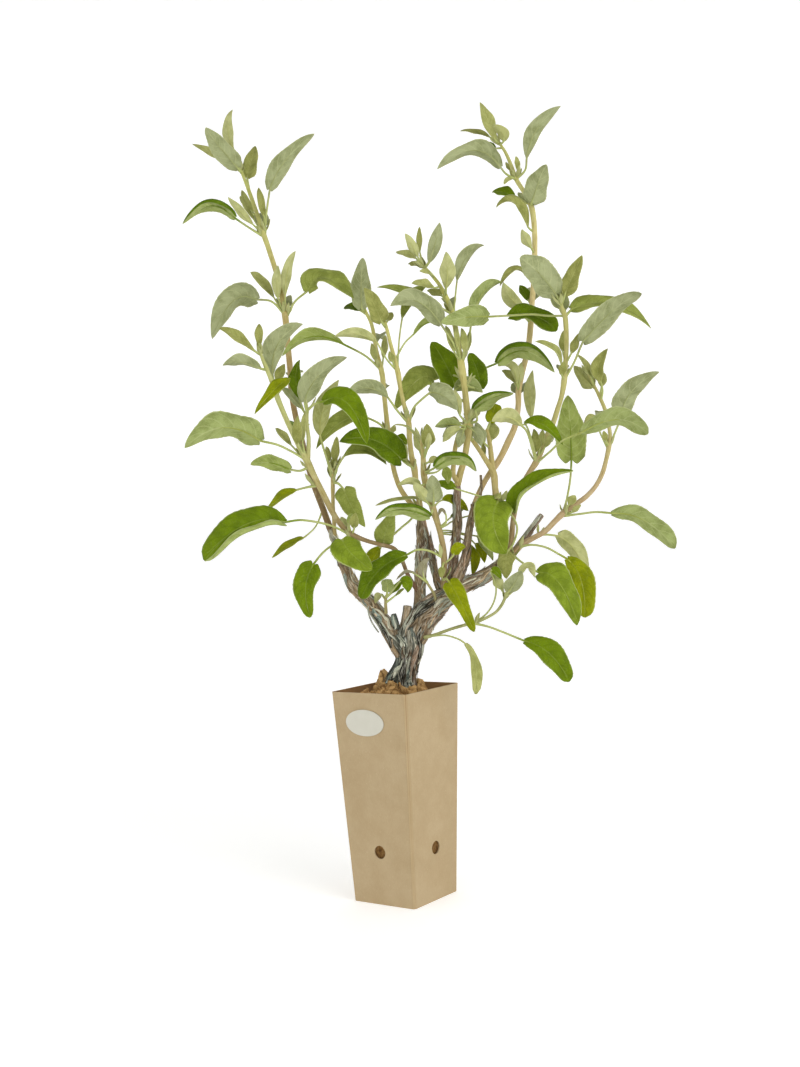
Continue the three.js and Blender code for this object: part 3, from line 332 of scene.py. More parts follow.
shoots = {
    "shoot_left_tall": {
        "stems": [
            [(-54, 354, 10, 3.2), (-60, 374, 14, 3), (-66, 393, 18, 2.9), (-71, 412, 21, 2.9),
             (-76, 437, 26, 2.8), (-81, 462, 31, 2.7), (-84, 485, 36, 2.7), (-84, 505, 40, 2.7),
             (-85, 530, 46, 2.8), (-86, 558, 52, 3), (-90, 590, 60, 2.6), (-98, 622, 69, 2.4),
             (-102, 636, 73, 2.6), (-108, 658, 80, 2.1), (-115, 682, 87, 1.8), (-121, 700, 93, 1.4)],
        ],
        "leaves": [
            ([(-120, 696, 92), (-124, 702, 87)], (-141, 723, 81), (-152, 741, 76), 21, -70, 15, "felt"),
            ([(-114, 680, 86), (-115, 692, 96)], (-110, 707, 105), (-106, 723, 118), 17, 80, 25, "olive"),
            ([(-121, 699, 92), (-127, 721, 104)], (-133, 739, 114), (-126, 756, 127), 9, -60, 30, "felt"),
            ([(-121, 698, 92), (-127, 706, 102)], (-145, 716, 110), (-166, 727, 124), 9, 60, 20, "felt"),
            ([(-101, 638, 74), (-99, 655, 71), (-94, 680, 70)],
             (-79, 709, 70), (-49, 730, 68), 17, -60, 20, "felt"),
            ([(-104, 636, 73), (-117, 645, 69), (-130, 655, 65)],
             (-153, 669, 62), (-181, 651, 47), 18, -40, 25, "twoTone"),
            ([(-106, 641, 74), (-112, 647, 65)], (-124, 661, 61), (-134, 674, 61), 8, -60, 20, "felt"),
            ([(-106, 643, 75), (-111, 652, 86)], (-117, 667, 95), (-121, 681, 104), 8, 60, 20, "felt"),
            ([(-102, 640, 74), (-101, 654, 71)], (-103, 668, 71), (-105, 682, 72), 7, 70, 20, "olive"),
            ([(-86, 559, 53), (-98, 573, 48), (-113, 576, 41)],
             (-137, 579, 34), (-156, 542, 15), 25, -50, 20, "felt"),
            ([(-87, 561, 53), (-92, 576, 48)], (-93, 592, 48), (-90, 607, 49), 10, -60, 20, "pale"),
            ([(-88, 562, 53), (-96, 577, 64)], (-107, 594, 73), (-117, 603, 80), 9, 50, 20, "pale"),
            ([(-86, 562, 53), (-85, 578, 49)], (-83, 602, 48), (-73, 620, 47), 8, -60, 25, "pale"),
            ([(-84, 559, 53), (-76, 572, 48), (-63, 582, 42)],
             (-43, 597, 38), (-20, 572, 19), 23, 50, 15, "soft"),
            ([(-85, 558, 53), (-86, 566, 71)], (-87, 575, 97), (-90, 570, 125), 19, 10, 20, "felt"),
            ([(-101, 636, 73), (-103, 645, 92)], (-106, 656, 120), (-110, 656, 147), 17, 10, 20, "felt"),
            ([(-84, 498, 39), (-82, 501, 58)], (-79, 505, 82), (-77, 500, 107), 18, 10, 20, "felt"),
            ([(-77, 442, 27), (-77, 448, 47)], (-79, 456, 74), (-84, 450, 99), 19, 10, 20, "green"),
            ([(-60, 373, 14), (-68, 357, 20), (-80, 347, 28)],
             (-94, 341, 35), (-112, 330, 41), 12, 40, 25, "lime"),
            ([(-110, 656, 79), (-113, 660, 90)], (-119, 668, 98), (-123, 675, 102), 5, 60, 10, "pale"),
        ],
    },
    "shoot_left_front": {
        "stems": [
            [(26, 291, 2, 2.2), (21, 300, -4, 2), (17, 308, -8, 1.9), (13, 320, -12, 1.9),
             (6, 332, -17, 1.9), (-8, 337, -21, 1.9), (-22, 342, -26, 2), (-34, 348, -30, 2.6),
             (-43, 357, -32, 2.5), (-51, 370, -35, 2.6), (-59, 388, -38, 2.6), (-66, 404, -41, 2.7),
             (-73, 421, -44, 3.1), (-80, 436, -47, 2.5), (-88, 455, -50, 2.3), (-94, 471, -54, 2.2),
             (-98, 483, -56, 2.5), (-103, 500, -60, 2), (-109, 517, -64, 1.6), (-112, 526, -66, 1.2)],
            [(-72, 419, -43, 2.1), (-70, 440, -48, 1.8), (-71, 455, -52, 1.7), (-70, 469, -55, 1.6)],
        ],
        "leaves": [
            ([(-112, 524, -66), (-117, 527, -72)], (-134, 543, -85), (-149, 551, -94), 11, 60, 20, "olive"),
            ([(-112, 524, -66), (-112, 532, -63)], (-112, 543, -63), (-111, 553, -62), 7, 70, 20, "olive"),
            ([(-107, 509, -61), (-112, 510, -71)], (-130, 518, -81), (-149, 516, -89), 15, -40, 30, "felt"),
            ([(-99, 485, -57), (-101, 504, -53)], (-98, 537, -52), (-70, 551, -48), 15, -60, 20, "felt"),
            ([(-98, 485, -57), (-85, 499, -72)], (-99, 490, -82), (-121, 468, -84), 14, 60, 20, "lime"),
            ([(-76, 423, -44), (-98, 436, -57), (-117, 442, -69)],
             (-152, 462, -82), (-190, 439, -89), 24, -55, 18, "soft"),
            ([(-75, 424, -44), (-80, 436, -55)], (-81, 449, -63), (-79, 463, -70), 10, 80, 20, "olive"),
            ([(-77, 424, -44), (-87, 436, -42)], (-94, 446, -40), (-101, 453, -39), 6, 60, 20, "pale"),
            ([(-72, 414, -42), (-80, 411, -36), (-90, 413, -29)],
             (-107, 421, -23), (-126, 422, -18), 19, -50, 15, "green"),
            ([(-65, 396, -39), (-74, 395, -32), (-84, 393, -25)],
             (-99, 387, -21), (-117, 374, -14), 14, 45, 20, "lime"),
            ([(-70, 466, -55), (-72, 477, -62)], (-60, 503, -72), (-30, 520, -79), 19, -60, 25, "felt"),
            ([(-70, 468, -55), (-62, 474, -65), (-53, 476, -73)],
             (-26, 476, -82), (-14, 434, -87), 17, 70, 25, "green"),
            ([(-70, 458, -53), (-77, 480, -44)], (-81, 499, -39), (-75, 517, -36), 9, 60, 20, "dark"),
            ([(-98, 482, -56), (-97, 495, -48)], (-94, 505, -44), (-89, 514, -40), 8, 60, 20, "olive"),
            ([(-70, 462, -53), (-75, 470, -44)], (-83, 482, -38), (-93, 491, -34), 10, -60, 20, "felt"),
            ([(-36, 348, -30), (-55, 358, -44), (-80, 364, -58), (-98, 363, -68)],
             (-136, 366, -82), (-178, 332, -91), 27, 60, 12, "greenCurled", "oval"),
            ([(-35, 346, -30), (-48, 341, -37), (-61, 333, -43), (-72, 321, -47)],
             (-84, 298, -52), (-77, 271, -55), 21, 75, 15, "green", "wedge"),
            ([(-36, 347, -30), (-43, 343, -43)], (-37, 329, -57), (-17, 312, -63), 27, 65, 15, "fresh"),
            ([(-35, 349, -30), (-38, 354, -26)], (-41, 360, -22), (-43, 365, -20), 6, -60, 20, "pale"),
            ([(-33, 349, -30), (-31, 354, -39)], (-31, 361, -45), (-29, 368, -48), 8, 80, 25, "olive"),
            ([(-9, 337, -21), (-7, 334, -11)], (-15, 324, -1), (-29, 302, 5), 15, 65, 20, "lime"),
            ([(-74, 424, -44), (-76, 438, -54)], (-75, 452, -62), (-73, 465, -68), 5, 80, 20, "pale"),
            ([(-35, 350, -31), (-36, 357, -35)], (-35, 363, -38), (-32, 368, -40), 5, -80, 20, "green"),
            ([(-33, 346, -30), (-27, 334, -21)], (-24, 329, -17), (-20, 322, -14), 4, 60, 10, "green"),
        ],
    },
    "shoot_left_thin": {
        "stems": [
            [(-50, 346, 8, 1.9), (-50, 358, 2, 1.8), (-50, 380, -6, 1.7), (-49, 401, -12, 2),
             (-48, 412, -15, 1.5)],
        ],
        "leaves": [
            ([(-49, 400, -11), (-53, 418, -19), (-57, 434, -24), (-59, 444, -25)],
             (-57, 469, -29), (-38, 496, -36), 15, -60, 20, "olive"),
            ([(-49, 405, -12), (-47, 416, -13)], (-45, 429, -13), (-43, 442, -12), 7, 70, 20, "olive"),
            ([(-48, 403, -12), (-44, 413, -20), (-37, 423, -26)],
             (-16, 430, -26), (4, 413, -19), 14, 55, 20, "soft"),
            ([(-49, 398, -11), (-44, 397, -17), (-39, 391, -20)],
             (-34, 376, -25), (-21, 354, -30), 21, 75, 18, "soft"),
            ([(-49, 405, -12), (-52, 418, -8)], (-52, 426, -7), (-54, 433, -6), 5, 70, 15, "olive"),
        ],
    },
    "shoot_centre_inner": {
        "stems": [
            [(35, 357, 14, 2.4), (28, 369, 12, 2.3), (20, 380, 8, 2.4), (14, 391, 6, 2.4),
             (10, 405, 5, 2.3), (8, 420, 6, 2.2), (6, 440, 9, 2.6), (5, 460, 12, 2.3), (4, 480, 16, 2.2),
             (3, 500, 19, 2.6), (-1, 520, 24, 2), (-4, 545, 31, 1.7), (-9, 558, 35, 1.6),
             (-13, 568, 38, 1.3)],
        ],
        "leaves": [
            ([(-10, 558, 35), (-13, 563, 31)], (-13, 588, 34), (-8, 610, 32), 20, -75, 15, "felt"),
            ([(-12, 564, 37), (-18, 574, 49)], (-29, 589, 60), (-40, 599, 69), 8, 60, 20, "olive"),
            ([(-8, 556, 34), (-14, 560, 47)], (-22, 565, 58), (-31, 564, 64), 13, 60, 20, "dark"),
            ([(2, 503, 20), (-12, 517, 16), (-32, 529, 11)],
             (-63, 540, 6), (-92, 521, -6), 14, -40, 20, "green"),
            ([(3, 503, 20), (5, 514, 29)], (7, 525, 35), (8, 536, 40), 6, 80, 20, "pale"),
            ([(5, 441, 9), (-1, 451, 5), (-13, 458, 0)], (-39, 460, 2), (-64, 432, -4), 14, 65, 20, "soft"),
            ([(6, 438, 9), (13, 438, 7)], (19, 436, 8), (24, 431, 9), 9, 60, 20, "green"),
            ([(4, 482, 16), (4, 485, 34)], (0, 488, 59), (-6, 483, 84), 16, 10, 20, "felt"),
            ([(-2, 524, 26), (0, 530, 44)], (3, 537, 67), (5, 533, 89), 14, 10, 20, "felt"),
            ([(8, 416, 6), (8, 420, 26)], (6, 425, 53), (2, 421, 78), 19, 10, 20, "green"),
            ([(6, 437, 9), (9, 442, 17)], (11, 446, 21), (13, 450, 24), 5, 70, 20, "pale"),
            ([(1, 503, 20), (-2, 512, 16)], (-4, 520, 15), (-5, 529, 16), 6, 80, 20, "pale"),
        ],
    },
    "shoot_centre_left": {
        "stems": [
            [(33, 362, 4, 3.2), (32, 378, 2, 2.6), (30, 395, -1, 2.6), (29, 408, -2, 3),
             (27, 420, -5, 2.6), (26, 435, -8, 2.4), (26, 451, -10, 2.6), (23, 466, -13, 2),
             (20, 483, -16, 2), (18, 501, -19, 2.4), (13, 525, -21, 1.7), (9, 545, -23, 1.6),
             (5, 556, -25, 1.3)],
        ],
        "leaves": [
            ([(9, 543, -23), (5, 549, -31)], (-1, 566, -40), (-8, 581, -48), 18, 75, 20, "olive"),
            ([(8, 546, -23), (11, 549, -16)], (13, 553, -13), (16, 557, -12), 7, 70, 20, "olive"),
            ([(18, 503, -19), (21, 530, -14), (25, 551, -9)],
             (34, 570, -3), (50, 581, 1), 12, 50, 30, "soft"),
            ([(17, 513, -19), (26, 527, -16), (35, 535, -14)],
             (52, 548, -11), (68, 543, -7), 12, -30, 25, "green"),
            ([(16, 503, -19), (8, 513, -27), (0, 529, -35)],
             (-18, 540, -42), (-41, 537, -48), 8, -50, 20, "felt"),
            ([(25, 452, -10), (16, 463, -20), (7, 477, -28)],
             (-11, 489, -37), (-33, 481, -44), 15, -50, 20, "felt"),
            ([(29, 406, -2), (24, 412, -13), (17, 417, -22)],
             (-8, 440, -36), (-41, 438, -44), 27, 65, 15, "dark", "broad"),
            ([(28, 409, -3), (22, 412, 5)], (18, 426, 10), (20, 441, 14), 8, -80, 20, "pale"),
            ([(32, 372, 3), (24, 360, -6), (14, 352, -13), (4, 344, -15), (-4, 338, -16)],
             (-1, 352, -19), (8, 367, -19), 19, 85, 15, "soft"),
            ([(27, 453, -10), (32, 466, -17), (48, 479, -28)],
             (62, 477, -35), (73, 461, -37), 20, -70, 25, "felt"),
            ([(16, 504, -19), (14, 510, -24)], (13, 514, -26), (11, 520, -28), 6, 70, 20, "pale"),
        ],
    },
    "shoot_centre_pale": {
        "stems": [
            [(50, 284, -2, 2.8), (52, 305, -11, 2.6), (53, 321, -16, 3), (52, 336, -19, 2.6),
             (49, 352, -21, 2.7), (45, 368, -25, 3.1), (41, 382, -27, 2.8), (38, 400, -30, 3),
             (38, 412, -33, 2.5), (38, 425, -35, 2.1), (37, 437, -38, 1.6)],
        ],
        "leaves": [
            ([(51, 300, -10), (54, 301, -18), (57, 297, -22)],
             (66, 281, -29), (78, 249, -33), 19, 80, 15, "lime", "wedge"),
            ([(52, 321, -16), (40, 328, -23), (28, 330, -28), (16, 325, -30)],
             (-12, 314, -33), (-27, 286, -33), 19, 60, 18, "dark", "oval"),
            ([(45, 370, -25), (41, 361, -32)], (13, 372, -46), (-11, 361, -55), 17, -55, 18, "twoTone"),
            ([(44, 374, -26), (36, 379, -21)], (14, 379, -27), (-10, 375, -31), 7, 20, 20, "felt"),
            ([(44, 370, -25), (40, 374, -35)], (34, 385, -42), (27, 395, -48), 11, -60, 20, "pale"),
            ([(45, 370, -25), (46, 376, -37)], (46, 389, -43), (46, 401, -46), 18, -80, 20, "felt"),
            ([(39, 392, -29), (34, 391, -37)], (26, 396, -41), (12, 393, -45), 6, -50, 20, "pale"),
            ([(39, 403, -31), (44, 405, -40), (50, 408, -49)],
             (71, 419, -60), (90, 402, -67), 17, -55, 18, "twoTone"),
            ([(39, 419, -34), (42, 427, -42)], (44, 438, -47), (43, 449, -51), 14, 75, 25, "olive"),
            ([(38, 416, -34), (35, 424, -29)], (33, 432, -28), (31, 441, -28), 6, -70, 20, "pale"),
            ([(38, 402, -31), (50, 403, -26), (57, 408, -25)],
             (60, 401, -24), (61, 391, -24), 10, 60, 20, "soft"),
            ([(51, 347, -21), (57, 347, -2), (62, 346, 16), (77, 342, 17), (85, 340, 14)],
             (93, 333, 11), (100, 316, 11), 9, -60, 20, "soft"),
            ([(52, 344, -20), (58, 343, -1), (66, 341, 21), (80, 331, 21)],
             (83, 317, 19), (79, 303, 18), 8, 75, 25, "lime"),
            ([(51, 345, -20), (57, 345, 0), (64, 344, 23), (75, 341, 23), (83, 333, 22)],
             (90, 326, 20), (91, 314, 19), 8, 75, 20, "lime"),
            ([(53, 316, -15), (58, 319, -20), (62, 323, -23)],
             (66, 330, -26), (74, 331, -28), 11, 70, 20, "lime"),
            ([(46, 370, -25), (50, 374, -13), (54, 376, -3)],
             (66, 376, 10), (79, 364, 19), 10, 65, 20, "lime"),
            ([(50, 349, -21), (57, 352, -2), (62, 355, 16), (75, 359, 14), (83, 360, 11)],
             (92, 364, 8), (100, 366, 5), 8, -40, 20, "soft"),
            ([(39, 417, -34), (42, 424, -48)], (44, 433, -54), (45, 441, -57), 5, -70, 20, "pale"),
            ([(38, 425, -35), (34, 433, -33)], (26, 446, -40), (12, 451, -46), 8, 20, 20, "felt"),
            ([(38, 424, -35), (40, 430, -39)], (43, 438, -42), (46, 447, -44), 8, 60, 20, "green"),
            ([(50, 350, -21), (56, 355, -5), (61, 359, 10)],
             (68, 364, 15), (74, 367, 17), 5, 40, 10, "soft"),
            ([(50, 351, -21), (56, 353, -27), (57, 361, -29)],
             (53, 368, -30), (50, 361, -29), 3, 40, 0, "dry"),
            ([(53, 318, -16), (51, 313, -20)], (50, 308, -21), (49, 302, -22), 6, 70, 20, "olive"),
            ([(39, 411, -33), (43, 413, -41)], (48, 415, -44), (54, 414, -46), 7, 60, 20, "pale"),
        ],
    },
    "shoot_centre_main": {
        "stems": [
            [(69, 389, 4, 3.2), (73, 402, 1, 3), (77, 413, 0, 2.9), (80, 427, -3, 2.9),
             (83, 445, -4, 3.4), (82, 462, -7, 3), (81, 480, -8, 2.9), (79, 503, -9, 3.3),
             (77, 520, -10, 2.6), (75, 540, -10, 2.4), (71, 560, -10, 2.3), (64, 577, -10, 1.9),
             (57, 588, -10, 1.6), (47, 600, -11, 1.3)],
            [(70, 392, 3, 2.4), (66, 400, -4, 2.4), (67, 412, -9, 2.2), (69, 425, -10, 2.2),
             (73, 437, -10, 2.2), (80, 447, -5, 2)],
        ],
        "leaves": [
            ([(49, 598, -11), (53, 602, -17)], (61, 621, -22), (65, 640, -28), 13, -60, 20, "felt"),
            ([(47, 600, -11), (43, 608, -17)], (38, 620, -20), (32, 631, -22), 8, -60, 20, "felt"),
            ([(47, 599, -11), (41, 607, -4)], (31, 612, 3), (22, 615, 8), 9, 50, 20, "felt"),
            ([(50, 597, -11), (44, 600, 0)], (39, 602, 4), (33, 603, 8), 7, 60, 20, "olive"),
            ([(67, 570, -10), (68, 577, -19)], (71, 594, -27), (70, 612, -33), 15, -70, 20, "pale"),
            ([(63, 579, -10), (57, 578, -19)], (47, 583, -24), (36, 584, -29), 8, 60, 20, "felt"),
            ([(69, 563, -10), (64, 570, 0)], (57, 574, 7), (50, 577, 12), 10, 60, 20, "olive"),
            ([(78, 506, -9), (73, 523, -19), (61, 544, -28)],
             (41, 571, -36), (12, 564, -44), 17, -55, 20, "felt"),
            ([(74, 552, -9), (77, 572, -2), (79, 584, 2)],
             (88, 608, 8), (106, 617, 14), 12, -50, 25, "felt"),
            ([(80, 506, -9), (86, 522, -2), (91, 546, 4)],
             (102, 573, 12), (121, 581, 19), 14, -40, 30, "soft"),
            ([(73, 552, -9), (65, 557, -14), (56, 563, -18)],
             (30, 576, -23), (3, 583, -31), 14, 45, 25, "soft"),
            ([(81, 486, -9), (76, 484, 0), (72, 485, 8)],
             (64, 507, 13), (52, 527, 15), 27, 80, 15, "green"),
            ([(82, 484, -9), (90, 481, 1), (96, 481, 8)], (94, 499, 12), (87, 514, 14), 18, 80, 15, "dark"),
            ([(79, 491, -9), (66, 495, 19), (52, 491, 21)],
             (34, 494, 17), (14, 465, 11), 24, 60, 15, "soft"),
            ([(81, 468, -8), (75, 472, -1), (71, 479, 1)], (84, 487, 1), (98, 476, 0), 13, -70, 15, "soft"),
            ([(83, 448, -4), (91, 450, -13), (90, 461, -19)],
             (106, 472, -26), (127, 474, -35), 19, -55, 18, "twoTone"),
            ([(81, 445, -4), (76, 446, -12)], (63, 449, -19), (50, 447, -24), 12, -50, 20, "soft"),
            ([(81, 443, -4), (75, 443, -15)], (66, 441, -23), (57, 431, -28), 8, -60, 20, "felt"),
            ([(82, 486, -9), (92, 493, 12), (101, 499, 18), (114, 504, 18)],
             (142, 519, 13), (168, 491, 7), 19, -55, 18, "twoTone"),
            ([(83, 446, -4), (85, 452, 14)], (90, 459, 39), (94, 456, 66), 18, 10, 20, "green"),
            ([(78, 514, -9), (79, 519, 11)], (78, 524, 37), (75, 519, 63), 15, 10, 20, "felt"),
            ([(73, 551, -9), (73, 557, 11)], (70, 566, 37), (68, 562, 63), 15, 10, 20, "felt"),
            ([(47, 600, -11), (45, 613, -6)], (45, 625, -1), (46, 637, 2), 5, 80, 20, "olive"),
            ([(57, 588, -10), (54, 592, -18)], (50, 594, -20), (44, 595, -23), 5, 60, 20, "pale"),
            ([(79, 506, -9), (77, 518, -19)], (76, 531, -21), (75, 543, -22), 5, 80, 20, "pale"),
            ([(80, 506, -9), (84, 515, -2)], (87, 525, 1), (89, 537, 3), 5, 80, 20, "pale"),
            ([(80, 505, -9), (73, 516, -17)], (70, 529, -19), (66, 542, -19), 6, 80, 20, "pale"),
            ([(80, 506, -9), (82, 516, -17)], (83, 527, -19), (81, 539, -19), 6, 80, 20, "pale"),
            ([(82, 447, -4), (74, 449, 6)], (68, 452, 10), (62, 453, 14), 6, 60, 20, "olive"),
            ([(81, 448, -4), (75, 456, -13)], (74, 469, -15), (71, 481, -16), 6, -70, 20, "pale"),
            ([(81, 446, -5), (85, 443, -11)], (91, 437, -15), (94, 425, -17), 11, -45, 22, "felt"),
            ([(80, 446, -5), (78, 442, -12)], (75, 435, -16), (72, 425, -17), 11, -50, 22, "felt"),
            ([(81, 447, -5), (85, 452, -11)], (91, 460, -14), (98, 466, -15), 9, -50, 20, "pale"),
            ([(80, 446, -5), (74, 446, -12)], (66, 443, -15), (57, 436, -16), 10, -60, 20, "felt"),
        ],
    },
    "shoot_centre_right": {
        "stems": [
            [(110, 316, 5, 2.6), (109, 337, 4, 2.6), (107, 353, 5, 2.8), (106, 371, 5, 3.5),
             (105, 385, 6, 3.1), (104, 400, 8, 3.2), (97, 413, 8, 2.4), (90, 425, 9, 2.2),
             (83, 436, 9, 1.8)],
            [(104, 399, 8, 2.6), (103, 413, 10, 2.5), (102, 428, 13, 2.2), (100, 441, 16, 1.6)],
        ],
        "leaves": [
            ([(86, 431, 9), (85, 434, 7)], (83, 441, 15), (85, 451, 24), 13, -70, 20, "olive"),
            ([(101, 424, 12), (97, 428, 6)], (93, 438, 5), (90, 449, 5), 12, -75, 20, "felt"),
            ([(102, 427, 13), (104, 431, 19)], (107, 439, 24), (105, 449, 29), 9, 70, 20, "pale"),
            ([(100, 440, 16), (103, 447, 26)], (107, 457, 34), (110, 466, 41), 15, 75, 20, "lime", "oval"),
            ([(106, 371, 5), (107, 372, -6)],
             (97, 348, -26), (114, 320, -24), 32, 78, 12, "fresh", "broad"),
            ([(107, 372, 6), (117, 362, -4), (124, 347, -10), (120, 332, -9), (113, 323, -7)],
             (111, 311, -5), (111, 298, -4), 17, 80, 15, "olive"),
            ([(105, 372, 4), (90, 378, -7), (68, 386, -10)],
             (58, 391, -12), (46, 391, -14), 11, 60, 20, "green"),
            ([(107, 348, 5), (105, 352, 26)], (101, 352, 52), (97, 346, 77), 19, 10, 20, "green"),
            ([(98, 411, 9), (97, 417, 14)], (96, 423, 17), (95, 429, 19), 4, 80, 20, "olive"),
            ([(108, 373, 6), (112, 373, -1)], (114, 377, -1), (116, 382, -1), 5, -70, 20, "pale"),
            ([(106, 373, 6), (104, 376, -3)], (107, 377, -6), (110, 375, -8), 6, 60, 20, "pale"),
        ],
    },
    "shoot_right_tall": {
        "stems": [
            [(85, 371, 3, 2.8), (91, 384, 11, 2.6), (99, 397, 17, 2.6), (107, 407, 20, 2.9),
             (113, 416, 23, 2.8), (119, 427, 25, 3.1), (127, 443, 29, 2.9), (131, 462, 34, 2.7),
             (132, 476, 36, 2.9), (136, 492, 40, 2.8), (140, 505, 43, 2.8), (144, 520, 47, 2.8),
             (147, 540, 53, 2.9), (149, 558, 58, 2.8), (152, 580, 64, 2.8), (154, 605, 72, 2.8),
             (155, 630, 80, 2.7), (153, 651, 87, 2.9), (147, 664, 91, 2.4), (140, 677, 96, 2.4),
             (136, 690, 101, 1.9), (131, 703, 105, 1.6), (125, 713, 109, 1.3)],
        ],
        "leaves": [
            ([(154, 626, 79), (149, 631, 74)], (138, 657, 76), (119, 652, 69), 9, 40, 30, "olive"),
            ([(153, 650, 87), (154, 655, 79)], (161, 673, 74), (168, 690, 69), 26, -75, 20, "felt"),
            ([(152, 652, 87), (138, 660, 99)], (127, 666, 106), (116, 667, 111), 15, 60, 20, "green"),
            ([(140, 677, 96), (131, 682, 91), (125, 690, 86)],
             (101, 710, 82), (64, 690, 64), 16, -45, 25, "felt"),
            ([(140, 677, 96), (149, 685, 91), (151, 696, 88)],
             (160, 725, 88), (186, 744, 81), 14, -60, 25, "felt"),
            ([(126, 711, 109), (122, 715, 105)], (116, 734, 106), (110, 752, 107), 14, 70, 20, "pale"),
            ([(125, 711, 109), (117, 718, 116)], (104, 724, 123), (89, 726, 129), 7, 50, 20, "olive"),
            ([(126, 710, 108), (130, 713, 103)], (130, 722, 101), (120, 730, 99), 12, -60, 25, "olive"),
            ([(128, 707, 107), (122, 707, 115)], (116, 710, 120), (109, 713, 125), 10, 60, 20, "dark"),
            ([(154, 605, 72), (151, 611, 67)], (146, 620, 64), (143, 629, 63), 9, -60, 25, "pale"),
            ([(152, 578, 64), (146, 584, 58)], (133, 592, 55), (119, 577, 46), 7, 30, 30, "olive"),
            ([(148, 552, 57), (142, 553, 48)], (128, 563, 44), (123, 580, 41), 14, -65, 20, "pale"),
            ([(149, 556, 58), (146, 561, 67)], (143, 569, 74), (138, 577, 80), 9, 70, 20, "dark"),
            ([(132, 476, 36), (131, 483, 28)], (128, 501, 27), (113, 502, 22), 6, -40, 20, "felt"),
            ([(132, 476, 36), (129, 484, 46)], (125, 492, 51), (117, 497, 56), 7, 60, 20, "felt"),
            ([(132, 477, 36), (133, 484, 30)], (134, 493, 29), (136, 503, 30), 8, -70, 20, "pale"),
            ([(128, 445, 29), (137, 444, 40), (143, 450, 43)],
             (142, 473, 50), (146, 495, 52), 12, -70, 15, "pale"),
            ([(147, 540, 53), (138, 548, 46), (127, 547, 38)],
             (149, 550, 34), (172, 533, 25), 20, 55, 20, "dark", "oval"),
            ([(132, 470, 35), (132, 474, 55)], (134, 482, 80), (138, 478, 103), 17, 10, 20, "felt"),
            ([(149, 556, 58), (150, 562, 79)], (152, 572, 104), (156, 568, 129), 18, 10, 20, "felt"),
            ([(153, 650, 87), (150, 655, 108)], (147, 663, 133), (148, 658, 158), 17, 10, 20, "felt"),
            ([(141, 676, 96), (136, 678, 88)], (132, 677, 85), (128, 673, 83), 5, 60, 20, "pale"),
            ([(140, 678, 96), (142, 685, 92)], (142, 692, 91), (141, 699, 92), 5, 70, 20, "pale"),
            ([(139, 680, 97), (135, 685, 105)], (133, 689, 109), (131, 694, 112), 4, 70, 20, "pale"),
            ([(154, 650, 87), (157, 656, 83)], (161, 665, 83), (164, 675, 84), 6, -70, 20, "pale"),
        ],
    },
    "shoot_right_middle": {
        "stems": [
            [(113, 317, 6, 2.6), (118, 336, 10, 2.6), (120, 350, 10, 2.5), (123, 364, 11, 2.6),
             (127, 377, 10, 2.4), (133, 390, 8, 2.4), (139, 399, 6, 2.5), (145, 407, 4, 3.1),
             (151, 419, 1, 2.8), (157, 432, -2, 2.6), (163, 443, -5, 2.4), (168, 456, -8, 2.4),
             (173, 470, -12, 2.3), (176, 484, -16, 2.7), (178, 500, -20, 2.3), (180, 520, -25, 2.1),
             (180, 543, -31, 2.4), (178, 551, -34, 1.8), (176, 559, -38, 1.4)],
        ],
        "leaves": [
            ([(122, 362, 11), (121, 362, -1)], (138, 388, -17), (180, 399, -31), 20, 55, 30, "greenCurled"),
            ([(145, 407, 4), (142, 422, -10), (138, 437, -22), (133, 443, -27)],
             (121, 454, -34), (104, 449, -38), 15, -50, 15, "pale"),
            ([(146, 409, 3), (143, 425, -13), (139, 440, -20), (136, 446, -21)],
             (156, 444, -24), (172, 423, -26), 12, 60, 20, "green"),
            ([(146, 407, 4), (158, 416, -12), (172, 427, -27), (191, 434, -36)],
             (225, 448, -49), (256, 431, -56), 19, -50, 15, "soft", "oval"),
            ([(145, 408, 3), (144, 416, -4)], (146, 427, -11), (145, 439, -17), 9, 70, 20, "olive"),
            ([(180, 545, -31), (163, 546, 0), (148, 548, 7), (130, 548, -1), (106, 548, -22)],
             (85, 550, -29), (61, 544, -31), 20, -70, 15, "soft"),
            ([(177, 555, -36), (172, 566, -44)], (156, 591, -60), (137, 603, -74), 27, -75, 15, "felt"),
            ([(177, 556, -36), (181, 566, -38)], (189, 583, -45), (198, 600, -55), 18, 75, 25, "olive"),
            ([(177, 490, -17), (174, 500, -27)], (167, 515, -35), (151, 523, -42), 11, 40, 25, "pale"),
            ([(179, 501, -20), (184, 509, -27)], (188, 518, -31), (192, 527, -36), 7, 70, 20, "olive"),
            ([(177, 486, -16), (186, 500, -25), (196, 520, -39)],
             (226, 550, -56), (254, 566, -70), 22, -60, 20, "felt", "broad"),
            ([(180, 544, -31), (187, 551, -26)], (226, 557, -24), (263, 530, -20), 18, 50, 18, "soft"),
            ([(176, 484, -16), (174, 489, -23)], (175, 495, -27), (177, 502, -30), 7, 70, 20, "olive"),
            ([(176, 484, -16), (175, 490, 3)], (175, 497, 25), (175, 493, 45), 13, 10, 20, "felt"),
            ([(151, 419, 1), (153, 424, 19)], (157, 432, 40), (161, 427, 64), 18, 10, 20, "felt"),
            ([(180, 543, -31), (178, 552, -10)], (172, 566, 10), (168, 562, 37), 18, 10, 20, "felt"),
            ([(148, 413, 3), (154, 421, -8)], (158, 427, -13), (160, 433, -16), 5, 70, 20, "pale"),
            ([(147, 411, 3), (150, 422, -8)], (152, 430, -13), (153, 438, -17), 6, 70, 20, "pale"),
            ([(178, 501, -20), (176, 511, -14)], (176, 521, -12), (178, 531, -11), 6, 70, 20, "olive"),
        ],
    },
    "shoot_right_low": {
        "stems": [
            [(115, 317, 3, 2.6), (127, 329, 0, 2.6), (138, 335, 0, 2.6), (150, 341, -1, 2.6),
